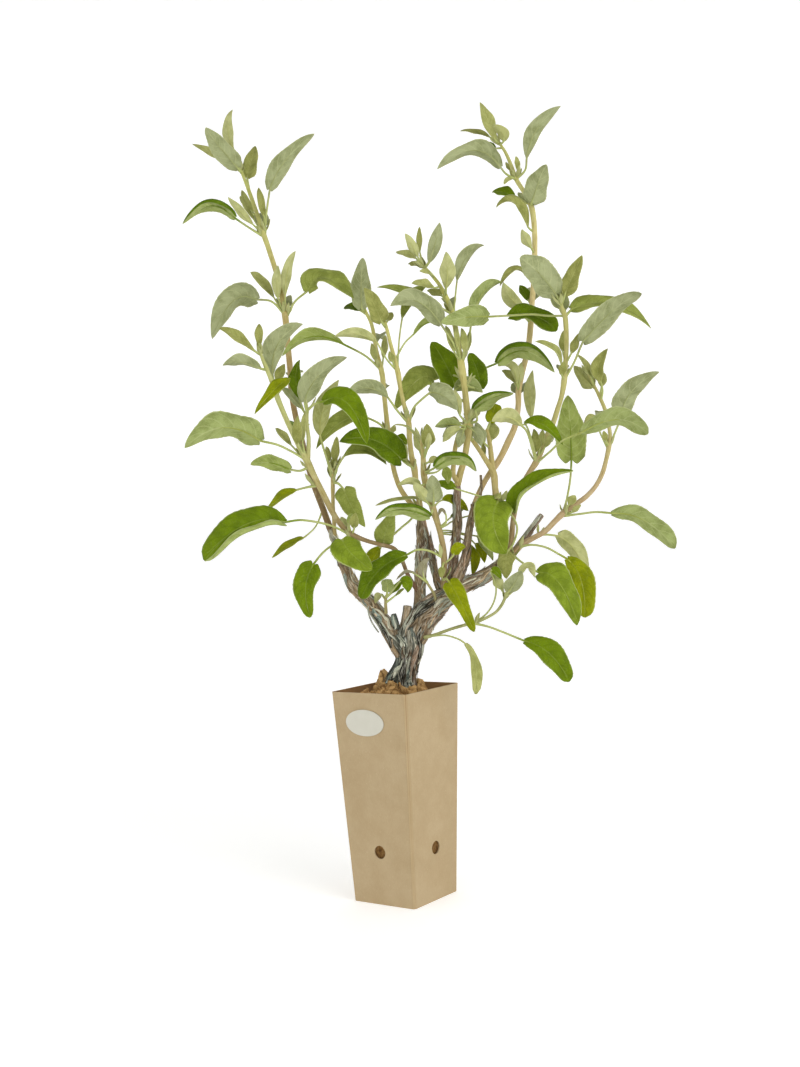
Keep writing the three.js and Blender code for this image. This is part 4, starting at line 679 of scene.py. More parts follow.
             (160, 350, 0, 2.6), (168, 357, 1, 3.1), (180, 365, 1, 2.4), (191, 372, 0, 2.3),
             (201, 382, 1, 2.2), (208, 394, 1, 2.2), (212, 406, 2, 2.1), (215, 417, 2, 2.4),
             (217, 428, 5, 1.9), (216, 440, 9, 1.8), (214, 452, 13, 2), (209, 466, 16, 1.7),
             (203, 480, 20, 1.4), (199, 490, 22, 1.2)],
        ],
        "leaves": [
            ([(124, 327, 0), (136, 329, -5), (150, 326, -9), (162, 319, -13), (171, 313, -14)],
             (186, 292, -17), (184, 256, -15), 20, 80, 15, "lime", "oval"),
            ([(143, 338, 0), (152, 338, 8), (163, 336, 13)],
             (181, 322, 18), (189, 290, 21), 17, -60, 20, "pale"),
            ([(119, 320, 0), (128, 312, -13), (143, 302, -26)],
             (165, 292, -39), (178, 250, -44), 25, 65, 15, "fresh"),
            ([(168, 357, 1), (173, 372, 17), (177, 390, 29), (179, 408, 38)],
             (180, 438, 47), (178, 469, 52), 31, -85, 10, "green", "broad"),
            ([(170, 355, 1), (185, 356, -11), (200, 357, -17), (216, 355, -23)],
             (247, 350, -31), (275, 319, -41), 16, -62, 18, "soft", "oval"),
            ([(170, 358, 1), (174, 365, -5)], (178, 370, -7), (181, 374, -8), 8, 60, 20, "pale"),
            ([(215, 417, 2), (221, 430, 12), (226, 441, 19), (229, 450, 21)],
             (238, 472, 19), (265, 490, 14), 22, -60, 20, "felt", "broad"),
            ([(214, 417, 2), (208, 431, 11), (206, 438, 13)],
             (200, 446, 16), (192, 440, 18), 9, 60, 20, "pale"),
            ([(210, 463, 16), (212, 472, 10), (211, 480, 7)],
             (206, 495, 6), (219, 512, 3), 12, 60, 30, "olive"),
            ([(205, 475, 19), (202, 477, 23)], (194, 487, 24), (186, 497, 24), 16, -60, 20, "olive"),
            ([(204, 477, 19), (202, 485, 13)], (198, 497, 12), (190, 508, 10), 6, 40, 25, "pale"),
            ([(209, 466, 16), (211, 476, 26)], (212, 484, 30), (209, 491, 34), 9, 70, 20, "pale"),
            ([(214, 450, 13), (213, 452, 34)], (210, 450, 59), (206, 445, 82), 16, 10, 20, "felt"),
            ([(171, 357, 1), (177, 358, -6)], (181, 361, -8), (186, 365, -9), 5, 60, 20, "pale"),
            ([(215, 418, 3), (213, 424, -3)], (212, 429, -4), (211, 434, -4), 5, 80, 20, "olive"),
        ],
    },
    "shoot_low_right": {
        "stems": [
            [(30, 246, -9, 1.9), (40, 248, -13, 1.6), (57, 253, -17, 1.5), (70, 256, -19, 1.6),
             (80, 258, -20, 1.7), (91, 262, -20, 1.4), (100, 267, -20, 1.4), (106, 274, -20, 1.5),
             (110, 282, -21, 1.5)],
        ],
        "leaves": [
            ([(78, 257, -20), (92, 253, -24), (108, 246, -27), (127, 237, -31)],
             (151, 226, -38), (167, 197, -46), 20, 60, 20, "green", "oval"),
            ([(36, 247, -11), (50, 247, -23), (62, 243, -29), (69, 238, -32)],
             (79, 219, -36), (77, 189, -36), 11, 60, 15, "pale", "strap", 20),
            ([(110, 281, -21), (106, 288, -17)], (103, 296, -15), (99, 304, -14), 9, -70, 20, "pale"),
            ([(110, 282, -21), (113, 286, -30)], (120, 295, -38), (126, 304, -47), 17, -65, 20, "felt"),
            ([(110, 282, -21), (119, 295, -32), (124, 300, -41)],
             (132, 309, -45), (139, 298, -43), 9, -30, 25, "felt"),
            ([(79, 258, -20), (90, 265, -16), (98, 276, -14), (101, 290, -14), (97, 306, -18)],
             (102, 306, -19), (107, 298, -18), 7, 60, 20, "green"),
        ],
    },
    "shoot_low_left": {
        "stems": [
            [(-5, 271, -8, 1.6), (-5, 281, -12, 1.4), (-4, 288, -14, 1.3)],
        ],
        "leaves": [
            ([(-4, 286, -14), (-3, 291, -17)], (-2, 297, -21), (-3, 304, -23), 12, -70, 15, "soft", "oval"),
            ([(-5, 284, -12), (-8, 289, -7)], (-12, 288, -4), (-15, 281, -2), 6, -40, 20, "felt"),
            ([(-4, 286, -14), (2, 292, -18), (9, 300, -24)],
             (17, 300, -26), (17, 289, -24), 9, 60, 20, "green"),
            ([(-4, 286, -14), (1, 290, -10)], (7, 296, -10), (13, 303, -11), 6, 50, 20, "green"),
            ([(-5, 281, -12), (4, 287, -18)], (9, 291, -21), (13, 294, -23), 4, 40, 10, "soft"),
        ],
    },
    "shoot_low_centre": {
        "stems": [
            [(43, 279, -5, 1.4), (42, 286, -10, 1.3), (39, 292, -12, 1.2), (35, 299, -14, 1.2)],
        ],
        "leaves": [
            ([(36, 298, -14), (33, 303, -15)], (31, 314, -17), (39, 322, -18), 6, -60, 20, "dry"),
            ([(36, 298, -14), (30, 303, -16), (26, 306, -18)],
             (17, 310, -20), (6, 303, -19), 5, -20, 10, "dry"),
        ],
    },
}

leafShapes = {  # half widths of a blade, as shares of its widest, at shares of its length
    "heart": [(0, 0.5), (0.07, 0.86), (0.2, 1), (0.36, 0.97), (0.55, 0.82), (0.74, 0.6), (0.88, 0.38),
              (0.96, 0.19), (1, 0.02)],
    "broad": [(0, 0.64), (0.05, 0.9), (0.15, 1), (0.34, 0.96), (0.55, 0.84), (0.75, 0.64), (0.9, 0.38),
              (1, 0.04)],
    "oval": [(0, 0.4), (0.1, 0.72), (0.28, 0.92), (0.5, 1), (0.72, 0.98), (0.88, 0.84), (0.96, 0.58),
             (1, 0.12)],
    "young": [(0, 0.14), (0.14, 0.58), (0.36, 0.98), (0.54, 0.95), (0.74, 0.7), (0.9, 0.36), (1, 0.03)],
    "blunt": [(0, 0.5), (0.07, 0.82), (0.2, 1), (0.4, 0.97), (0.6, 0.84), (0.78, 0.66), (0.9, 0.46),
              (0.97, 0.25), (1, 0.05)],
    "strap": [(0, 0.3), (0.12, 0.54), (0.35, 0.8), (0.62, 0.98), (0.84, 1), (0.93, 0.86), (0.98, 0.56),
              (1, 0.24)],
    "wedge": [(0, 0.6), (0.05, 0.96), (0.15, 1), (0.4, 0.88), (0.7, 0.64), (0.88, 0.46), (0.96, 0.3),
              (1, 0.08)],
    "bud": [(0, 0.2), (0.2, 0.75), (0.45, 1), (0.7, 0.8), (0.9, 0.44), (1, 0.05)],
}

leafSettings = {
    "fullLeaf": 15,  # wider leaves have an outline of their own, a lobed base and full waves
    "broadLeaf": 12,  # wider leaves have the thicker stalk
    "youngLeaf": 10,  # narrower leaves are widened by youngBroader
    "tinyLeaf": 7,  # narrower leaves are buds
    "youngBroader": 1.2,
    "fullFaces": (16, 30),  # across and along a blade
    "youngFaces": (8, 14),
    "tinyFaces": (6, 10),
    "thickness": 0.6,
    "rimThickness": 0.3,
    "stalkRadius": 0.95,
    "youngStalkRadius": 0.75,
    "stalkSpacing": 2.2,
    "ribStart": 0.12,  # share of the blade's length at which its stalk becomes the midrib
    "lobe": 0.12,
    "teeth": 0.018,
    "toothCount": 13,
    "wave": 0.09,
    "waveCount": (1.1, 2.1),
    "youngWave": 0.6,  # of the wave of a full leaf
    "twist": 22,
    "tipDip": (-0.02, 0.05),
    "youngDip": 0.02,
    "curlUnder": 0.2,
    "unevenness": 0.07,
    "swelling": 0.012,  # between the side veins
    "straighter": 0.35,  # share of a bend that the midrib gives up
    "outerFill": 0.9,  # how far the blade widens for that on the outer and inner side of the bend
    "innerFill": 0.1,
    "stalkTone": paint(176, 184, 114),
    "ribTone": paint(184, 192, 120),
    "ribStrength": 0.14,
    "rolled": {"twoTone": 1, "greenCurled": -1},  # tones with a margin rolled under, or over
}

stemTones = {  # colours up each stem, at heights on the plane of the pot's middle
    "shoot_left_tall": [(354, (128, 106, 74)), (490, (152, 130, 86)), (520, (176, 154, 102)),
                        (590, (186, 174, 110)), (630, (192, 188, 118)), (700, (180, 184, 106))],
    "shoot_left_front": [(300, (128, 100, 76)), (400, (176, 164, 108)), (440, (188, 190, 124)),
                         (620, (184, 188, 118))],
    "shoot_right_tall": [(300, (156, 134, 100)), (420, (202, 180, 130)), (600, (210, 194, 138)),
                         (650, (200, 194, 128)), (740, (186, 188, 108))],
    "shoot_right_middle": [(280, (150, 124, 94)), (400, (182, 160, 116)), (430, (182, 174, 112)),
                           (640, (182, 182, 110))],
    "shoot_right_low": [(280, (164, 138, 106)), (380, (190, 168, 128)), (430, (184, 176, 114)),
                        (600, (178, 178, 104))],
    "shoot_low_right": [(200, (152, 152, 98)), (400, (174, 182, 120))],
    "shoot_low_left": [(200, (150, 132, 92)), (400, (176, 178, 118))],
    "shoot_low_centre": [(200, (150, 132, 96)), (400, (176, 178, 118))],
    "others": [(300, (148, 128, 90)), (390, (184, 168, 110)), (500, (194, 186, 118)),
               (570, (190, 190, 108)), (640, (184, 186, 102))],
}


youngSettings = {  # the very small leaves at growing ends and where long stalks leave their stem
    "tone": "pale",
    "splay": 0.35,
    "bend": 0.12,
    "slant": 1.2,
    "width": 0.36,  # share of the length
    "fold": 24,
    "tipLeaves": 5,
    "tipTurn": 94,
    "tipSize": 15,
    "tipShrink": 1.6,  # from one leaf to the next
    "tipVariation": 2,
    "tipSpacing": 1.2,
    "axilLeaf": 14,  # width from which a leaf has a pair of these below it
    "axilSize": (9, 15),
    "axilTurn": 25,
}

stemSettings = {
    "spacing": 1.6,
    "sides": 12,
    "corners": 0.04,
    "knots": 0.03,
}


def between(stops, place):  # the value at a place on a run of (place, value) stops
    for (low, first), (high, second) in zip(stops, stops[1:]):
        if place <= high:
            share = min(1, max(0, (place - low) / (high - low)))
            return first + (second - first) * share
    return stops[-1][1]


def stemTone(stops, height):
    colour = between([(place, Vector(value)) for place, value in stops], height)
    return paint(*colour)


def halfWidth(stops, share):  # a smooth run through the half widths
    i = next(k for k in range(len(stops) - 1) if share <= stops[k + 1][0] or k == len(stops) - 2)
    (x0, y0), (x1, y1) = stops[i], stops[i + 1]
    before = stops[i - 1] if i else (x0 - (x1 - x0), y0 - 1.6 * (y1 - y0))
    after = stops[i + 2] if i + 2 < len(stops) else (x1 + (x1 - x0), y1 + 2 * (y1 - y0))
    first = (y1 - before[1]) / (x1 - before[0]) * (x1 - x0)
    second = (after[1] - y0) / (after[0] - x0) * (x1 - x0)
    t = (share - x0) / (x1 - x0)
    rise = (2 * t**3 - 3 * t**2 + 1) * y0 + (t**3 - 2 * t**2 + t) * first
    return max(0.01, rise + (3 * t**2 - 2 * t**3) * y1 + (t**3 - t**2) * second)


def facing(tilt, lean):  # where a blade's upper side faces, from its tilt towards the eye and its lean
    t, l = math.radians(tilt), math.radians(lean)
    return turnRound @ Vector((math.sin(l), -math.sin(t) * math.cos(l), math.cos(t) * math.cos(l)))


def straightened(base, centre, end, up):
    along = (end - base).normalized()
    right = along.cross((up - along * along.dot(up)).normalized())
    aside = (centre - (base + end) / 2).dot(right) * leafSettings["straighter"]
    return centre - right * aside, aside


def midrib(base, centre, end):
    control = centre * 2 - base / 2 - end / 2

    def at(t):
        place = base * (1 - t) ** 2 + control * 2 * t * (1 - t) + end * t**2
        along = (control - base) * (1 - t) + (end - control) * t
        return place, along.normalized()

    return at


def rolledRim(reach):  # how far out a rolled margin lies, how far off the blade, and how far round
    flat, turned, fullness = 0.6, 0.74, 2.4  # it bends between these shares of the half width
    radius = (turned - flat) / math.pi
    angle = math.pi * min(1, max(0, (reach - flat) / (turned - flat)))
    out = min(reach, flat) + radius * math.sin(angle) - max(0, reach - turned)
    return out, radius * (1 - math.cos(angle)) * fullness, angle


def makeBlade(bm, layers, rib, width, up, fold, shape, tone, dice, aside=0):
    s = leafSettings
    full = width > s["fullLeaf"]
    size = "full" if full else "young" if width > s["tinyLeaf"] else "tiny"
    across, along = s[size + "Faces"]
    made = bmesh.ops.create_grid(bm, x_segments=across, y_segments=along, size=1)
    upper = made["verts"]
    faces = once(face for vert in upper for face in vert.link_faces)
    angle = math.radians(fold)
    phases = [dice.uniform(0, 2 * math.pi) for _ in range(3)]
    waves = dice.uniform(*s["waveCount"])
    twist = math.radians(dice.uniform(-s["twist"], s["twist"]))
    dip = dice.uniform(*s["tipDip"]) if full else s["youngDip"]
    wave = s["wave"] * (1 if full else s["youngWave"])
    lobe = s["lobe"] if full else 0
    chance = dice.random()
    upperSide = rib(0.5)[1].cross(up).z
    roll = s["rolled"].get(tone, 0)
    overs = {}
    for vert in upper:
        u, v = vert.co.x, (vert.co.y + 1) / 2
        place, tangent = rib(v)
        over = (up - tangent * tangent.dot(up)).normalized()
        over = Matrix.Rotation(twist * v * v, 3, tangent) @ over
        right = tangent.cross(over)
        reach = abs(u)
        half = halfWidth(leafShapes[shape], v) * width / 2
        fill = s["outerFill"] if u * aside > 0 else s["innerFill"]
        half += abs(aside) / mm * 4 * v * (1 - v) * fill
        sidePhase = phases[0] if u > 0 else phases[1]
        half *= 1 + s["teeth"] * math.sin(2 * math.pi * s["toothCount"] * v + phases[2]) * reach**6
        half *= 1 + s["unevenness"] * math.sin(2 * math.pi * 1.6 * v + sidePhase * 1.7) * reach
        lateral, under = u, s["curlUnder"] * reach**5 * (1 if full else 0.5)
        skin = over
        if roll * u * upperSide > 0:
            out, under, angleRound = rolledRim(reach)
            lateral, under = math.copysign(out, u), roll * under
            skin = over * math.cos(angleRound) + right * roll * math.copysign(math.sin(angleRound), u)
        spread = abs(lateral)
        height = half * (math.sin(angle) * (spread * 1.15 - 0.15 * spread**2) - under)
        height += half * wave * reach**2 * 2 * math.sin(2 * math.pi * waves * v + sidePhase)
        height -= width * dip * v**4 * 6
        swelling = math.cos(2 * math.pi * (v * 8 - reach * 1.5 + chance * 0.5))
        height -= width * s["swelling"] * swelling * reach * (1 - v)
        back = -lobe * width * math.sin(math.pi * reach**1.3) * (1 - v) ** 3
        vert.co = place + (right * lateral * half * math.cos(angle) + over * height + tangent * back) * mm
        overs[vert] = (skin, u, v)
        vert[layers["tone"]] = leafTones[tone][0][:3] + (0,)
        vert[layers["leafPlace"]] = (u / 2 + 0.5, v, chance, 1)
    grown = bmesh.ops.extrude_face_region(bm, geom=faces, use_keep_orig=True)
    under = [item for item in grown["geom"] if isinstance(item, bmesh.types.BMVert)]
    bmesh.ops.recalc_face_normals(bm, faces=once(f for v in upper + under for f in v.link_faces))
    nearest = {}
    for vert, facts in overs.items():
        nearest[vert.co.to_tuple(7)] = facts
    for vert in under:
        skin, u, v = nearest[vert.co.to_tuple(7)]
        thin = max(abs(u), abs(2 * v - 1)) ** 8
        vert.co -= skin * (s["thickness"] + (s["rimThickness"] - s["thickness"]) * thin) * mm
        vert[layers["tone"]] = leafTones[tone][1][:3] + (1,)


def makeLeaf(bm, layers, row, dice):
    stalk, middle, tip, width, tilt, fold, tone = row[:7]
    shape, lean = list(row[7:]) + ["heart", 0][len(row) - 7:]
    s = leafSettings
    small = "young" if width > s["tinyLeaf"] else "bud"
    shape = shape if width > s["fullLeaf"] or shape in ("oval", "strap") else small
    if width < s["youngLeaf"]:
        width *= s["youngBroader"]
        tone = "pale" if tone == "felt" else tone
    if shape == "heart" and tone in ("fresh", "green", "greenCurled", "dark", "lime"):
        shape = "blunt"
    base = seen(stalk[-1])
    up = facing(tilt, lean)
    centre, aside = straightened(base, seen(middle), seen(tip), up)
    aside = 0 if shape == "strap" else aside
    rib = midrib(base, centre, seen(tip))
    makeBlade(bm, layers, rib, width, up, fold, shape, tone, dice, aside)
    ribTone = mixTone(leafTones[tone][0], s["ribTone"], s["ribStrength"])
    radius = s["stalkRadius"] if width > s["broadLeaf"] else s["youngStalkRadius"]
    start, spacing = rib(s["ribStart"])[0], s["stalkSpacing"] * mm
    run = throughPoints([list(seen(point)) for point in stalk] + [list(start)], spacing)
    cut = max(2, len(run) - max(1, round((base - start).length / spacing)))
    rows = [place + [radius * (1.6 - 0.5 * min(1, i / 6)) * mm] for i, place in enumerate(run[:cut])]
    for step in range(1, 11):
        t = step / 10 * 0.94
        place, tangent = rib(t)
        over = (up - tangent * tangent.dot(up)).normalized()
        size = radius * 0.85 * (1 - t) ** 1.1 + 0.12
        rows.append(list(place - over * (size * 0.8 + 0.12) * mm) + [size * mm])
    length = runLength(rows)
    reach = cut * spacing / length
    for vert, share, angle in makeTube(bm, framesAlong(rows), 7):
        vert[layers["tone"]] = mixTone(s["stalkTone"], ribTone, min(1, max(0, (share - reach) * 8)))
        vert[layers["grain"]] = grainAt(angle, radius * mm, share * length)
        for face in vert.link_faces:
            face.material_index = 1


def makeYoungLeaf(bm, layers, base, way, aside, size, dice):
    s = youngSettings
    tip = base + (way + aside * s["splay"]).normalized() * size
    centre = (base + tip) / 2 + aside * size * s["bend"]
    up = (way - aside * s["slant"]).normalized()
    rib, width = midrib(base, centre, tip), size / mm * s["width"]
    makeBlade(bm, layers, rib, width, up, s["fold"], "young", s["tone"], dice)


def makeTip(bm, layers, stem, dice):  # the small leaves round a growing end
    s = youngSettings
    end, before = seen(stem[-1]), seen(stem[-2])
    way = (end - before).normalized()
    side = way.orthogonal().normalized()
    start = dice.uniform(0, 90)
    last = s["tipLeaves"] - 1
    for turn in range(last + 1):
        aside = Matrix.Rotation(math.radians(start + turn * s["tipTurn"]), 3, way) @ side
        variation = dice.uniform(-s["tipVariation"], s["tipVariation"])
        size = (s["tipSize"] - s["tipShrink"] * turn + variation) * mm
        base = end - way * (last - turn) * s["tipSpacing"] * mm + aside * 0.5 * mm
        makeYoungLeaf(bm, layers, base, way, aside, size, dice)


def makeAxil(bm, layers, row, dice):  # a pair of small leaves where a long stalk leaves its stem
    s = youngSettings
    stalk, width = row[0], row[3]
    if len(stalk) < 3 or width < s["axilLeaf"]:
        return
    base, out = seen(stalk[0]), (seen(stalk[1]) - seen(stalk[0])).normalized()
    way = (out * 0.5 + turnRound @ Vector((0, 0, 1))).normalized()
    for turn in (1, -1):
        angle = math.radians(90 * turn + dice.uniform(-s["axilTurn"], s["axilTurn"]))
        aside = Matrix.Rotation(angle, 3, way) @ out
        aside = (aside - way * way.dot(aside)).normalized()
        size = dice.uniform(*s["axilSize"]) * mm
        makeYoungLeaf(bm, layers, base + out * 1.5 * mm, way, aside, size, dice)


def makeStem(bm, layers, stem, stops, dice):
    s = stemSettings
    points = [list(seen(point)) + [point[3] * mm, point[1]] for point in stem]
    rows = throughPoints(points, s["spacing"] * mm)
    frames = framesAlong(rows)
    turns = dice.uniform(0, 6)

    def shape(angle, share):
        knots = math.sin(share * 40 + turns + 2 * angle)
        return 1 + s["corners"] * math.cos(4 * angle) + s["knots"] * knots

    last, length = len(rows) - 1, runLength(rows)
    for vert, share, angle in makeTube(bm, frames, s["sides"], shape):
        height = rows[round(share * last)][4]
        vert[layers["tone"]] = stemTone(stops, height)
        vert[layers["grain"]] = grainAt(angle, rows[0][3], share * length)
        for face in vert.link_faces:
            face.material_index = 1


def makeShoot(name, rows):
    dice = random.Random(name)
    bm = bmesh.new()
    layers = {
        "tone": bm.verts.layers.float_color.new("tone"),
        "leafPlace": bm.verts.layers.float_color.new("leafPlace"),
        "grain": bm.verts.layers.float_vector.new("grain"),
    }
    stops = stemTones.get(name, stemTones["others"])
    for stem in rows["stems"]:
        makeStem(bm, layers, stem, stops, dice)
        if len(stem) > 4:
            makeTip(bm, layers, stem, dice)
    for row in rows["leaves"]:
        makeLeaf(bm, layers, row, dice)
        makeAxil(bm, layers, row, dice)
    finishMesh(bm, name.replace("shoot", "leaves"), [leafFinish, stemFinish], [name])


for name, rows in shoots.items():
    makeShoot(name, rows)
print("shoots done")

# Wood: the limbs follow those of the solid, each a list of x, z, depth and radius, with finer
# rings, stretched ridges and strips of old bark that peel off them

wood = [
    [(8, 172, 0, 9), (9, 190, 0, 11), (8, 204, 0, 12), (11, 214, 0, 10), (14, 224, 0, 9.8),
     (17, 235, 0, 11.6), (16, 246, 0, 14), (17, 256, 1, 12)],
    [(-7, 203, -6, 3.4), (-2, 211, -5, 4.4), (5, 221, -3, 5), (9, 232, -2, 5)],
    [(12, 220, 0, 6), (7, 236, 0, 8), (-1, 252, 0, 7.8), (-8, 264, 0, 6.8), (-16, 277, 1, 6),
     (-26, 289, 2, 5.8), (-35, 300, 3, 6), (-40, 312, 4, 4.6), (-45, 326, 6, 3.6),
     (-49, 340, 8, 3.3), (-54, 354, 10, 3.3)],
    [(20, 244, 0, 11), (30, 261, 0, 11.5), (42, 273, 0, 10), (54, 284, 0, 8.6), (66, 292, 2, 7.2),
     (80, 297, 4, 6.6), (92, 302, 5, 6.4), (103, 310, 6, 4.8), (114, 319, 6, 4)],
    [(25, 262, 4, 6.5), (28, 283, 4, 5), (29, 300, 4, 5), (31, 318, 4, 5.2), (33, 335, 4, 4.9),
     (33, 350, 4, 4.2), (33, 362, 4, 3.4)],
    [(49, 284, 4, 3.2), (46, 296, 6, 2.9), (43, 312, 9, 2.7), (41, 326, 11, 2.7), (38, 342, 13, 2.5),
     (35, 357, 14, 2.4)],
    [(55, 288, 5, 4.4), (60, 310, 7, 4.4), (64, 330, 8, 4), (67, 350, 8, 3.9), (68, 370, 6, 3.5),
     (69, 389, 4, 3.2)],
    [(60, 290, -2, 5.4), (67, 306, -5, 4.7), (74, 322, -5, 3.7), (77, 340, -4, 3.1), (81, 358, 0, 3),
     (85, 371, 3, 2.9)],
    [(11, 252, -5, 4.4), (14, 265, -8, 3.8), (16, 277, -9, 3.3)],
    [(4, 256, -5, 3.2), (2, 270, -7, 1.8)],
    [(113, 315, 6, 3.2), (128, 332, 11, 2.7), (148, 357, 18, 2.5)],
    [(84, 369, 3, 1.9), (91, 380, 6, 1.5), (92, 398, 8, 1.3)],
    [(-20, 283, -1, 1.2), (-22, 274, -4, 0.8), (-19, 263, -6, 0.8), (-13, 253, -7, 0.7)],
]

barkSettings = {
    "seed": 31,
    "ringSpacing": 1.5,
    "sides": 28,
    "twigSides": 12,
    "ridges": 0.2,
    "flutes": 0.08,
    "stripsPerLength": 0.9,  # strips for each millimetre of limb, on a limb of 10 mm radius
    "stripWidth": (0.7, 3.2),
    "stripLength": (9, 36),
    "stripThickness": (0.22, 0.5),
    "drift": 0.9,  # how far a strip may wind round its limb
    "peel": 3.0,
    "oldShade": (0.3, 1.5),  # old is for the trunk and the cords, pale for the limbs above
    "paleShade": (0.75, 1.5),
    "oldGapShade": (0.4, 0.5),  # share of the dark tone of the hollows on the limb itself, a painted shade that shows in the gaps between strips: least, and more in random patches
    "paleGapShade": (0, 0.35),
    "oldUnderShade": 0.6,  # share of the dark tone of the hollows painted as shade on the underside of a strip
    "paleUnderShade": 0.3,
    # the dark tone of the hollows is painted shade: on the limbs, under the strips, in some strips and in
    # the dark cords
    "hollowShade": paint(46, 42, 28),
    "silver": paint(192, 194, 174),
    "blueGrey": paint(150, 166, 154),
    "brown": paint(142, 118, 90),
    "tan": paint(188, 162, 126),
    "cream": paint(232, 226, 200),
    "rose": paint(180, 150, 124),
}
oldBark = ["blueGrey", "silver", "silver", "blueGrey", "silver", "cream", "cream", "hollowShade", "hollowShade"]
redBark = ["tan", "brown", "tan", "rose", "silver", "tan", "cream"]
barkMixes = [  # one for each limb, with the limb's own tone first
    oldBark, oldBark, ["tan", "brown", "silver", "tan", "cream", "blueGrey"],
    redBark + ["silver", "silver"], ["tan"] + redBark, redBark,
    ["rose", "brown", "tan", "silver"], ["tan", "silver", "rose", "brown"], redBark, oldBark,
    ["rose", "tan", "silver"], ["tan", "rose"], ["silver", "tan"],
]


def makeBarkFinish():
    finish = Finish("peeling bark", {"Roughness": 0.85, "Specular IOR Level": 0.25})
    tone = finish.attribute("tone")
    along = finish.attribute("grain", 1)
    streaks = finish.streaks(along, 1100, 4)
    broad = finish.streaks(along, 260, 3)
    cracks = 1 - finish.smooth(finish.maths("ABSOLUTE", streaks - 0.5), 0.0, 0.05)
    dark = finish.mix(1.0, tone, paint(92, 94, 76), "MULTIPLY")
    light = finish.mix(0.6, tone, paint(236, 232, 214))
    base = finish.mix(finish.smooth(broad, 0.38, 0.56), finish.mix(0.6, tone, dark), tone)
    base = finish.mix(finish.smooth(streaks, 0.5, 0.68) * 0.8, base, light)
    finish.feed("Base Color", finish.mix(cracks * 0.55, base, dark))
    finish.bump(streaks * 0.8 + broad * 0.6 - cracks * 0.5, 0.8, 1.0 * mm)
    return finish


def makeLimb(bm, layers, rows, tone, pale, dice):
    s = barkSettings
    shift = Vector((dice.uniform(0, 90), dice.uniform(0, 90), dice.uniform(0, 90)))
    length = runLength(rows)
    thick = max(row[3] for row in rows) / mm
    turns = dice.uniform(-0.02, 0.02)

    def shape(angle, share):
        run = share * length / mm
        spot = Vector((math.cos(angle) * 2.6, math.sin(angle) * 2.6, run * 0.05)) + shift
        ridges = noise.fractal(spot, 0.9, 2.1, 3) * s["ridges"]
        flutes = abs(math.sin(2.5 * (angle + turns * run))) * s["flutes"]
        return 1 + (ridges + flutes - 0.06) * min(1, thick / 5)

    least, more = s["paleGapShade" if pale else "oldGapShade"]
    sides = s["twigSides" if thick < 2 else "sides"]
    for vert, share, angle in makeTube(bm, framesAlong(rows), sides, shape):
        # painted shade: the limb darkens towards the tone of the hollows in random patches, and this shows
        # in the gaps between strips
        patchy = noise.noise(vert.co * 120) * 0.5 + 0.5
        vert[layers["tone"]] = mixTone(s[tone], s["hollowShade"], min(1, least + more * patchy))
        vert[layers["grain"]] = grainAt(angle, thick * mm, share * length)


def makeStrip(bm, layers, frames, mix, pale, dice):
    s = barkSettings
    count = len(frames)
    spacing = s["ringSpacing"]
    steps = min(count - 1, max(5, round(dice.uniform(*s["stripLength"]) / spacing)))
    start = dice.randrange(0, count - steps)
    turn = dice.uniform(0, 2 * math.pi)
    drift = dice.uniform(-s["drift"], s["drift"])
    width = dice.uniform(*s["stripWidth"])
    thickness = dice.uniform(*s["stripThickness"])
    peels = [dice.random() ** 5 * s["peel"], dice.random() ** 5 * s["peel"]]
    tone = s[dice.choice(mix)]
    phase = dice.uniform(0, 9)
    laid = []
    for step in range(steps + 1):
        t = step / steps
        place, along, side, across, radius = frames[start + step]
        angle = turn + drift * (t - 0.5) + 0.2 * math.sin(phase + 6 * t)
        out = side * math.cos(angle) + across * math.sin(angle)
        lift = radius + (0.3 + peels[0] * (1 - t) ** 5 + peels[1] * t**5) * mm
        taper = max(0.12, math.sin(math.pi * (0.04 + 0.92 * t))) ** 0.6
        flat = out * thickness / width
        laid.append((place + out * lift, along, along.cross(out), flat, width * taper * mm))
    shade = dice.uniform(*s["paleShade" if pale else "oldShade"])
    underside = s["paleUnderShade" if pale else "oldUnderShade"]
    for vert, share, angle in makeTube(bm, laid, 6):
        # painted shade on the strip's underside, which faces the limb
        dark = underside if math.sin(angle) < -0.1 else 0.0
        vert[layers["tone"]] = mixTone(tuple(c * shade for c in tone[:3]) + (1,), s["hollowShade"], dark)
        grain = grainAt(angle, width * mm, share * steps * spacing * mm)
        vert[layers["grain"]] = grain + Vector((phase, 0, 0))


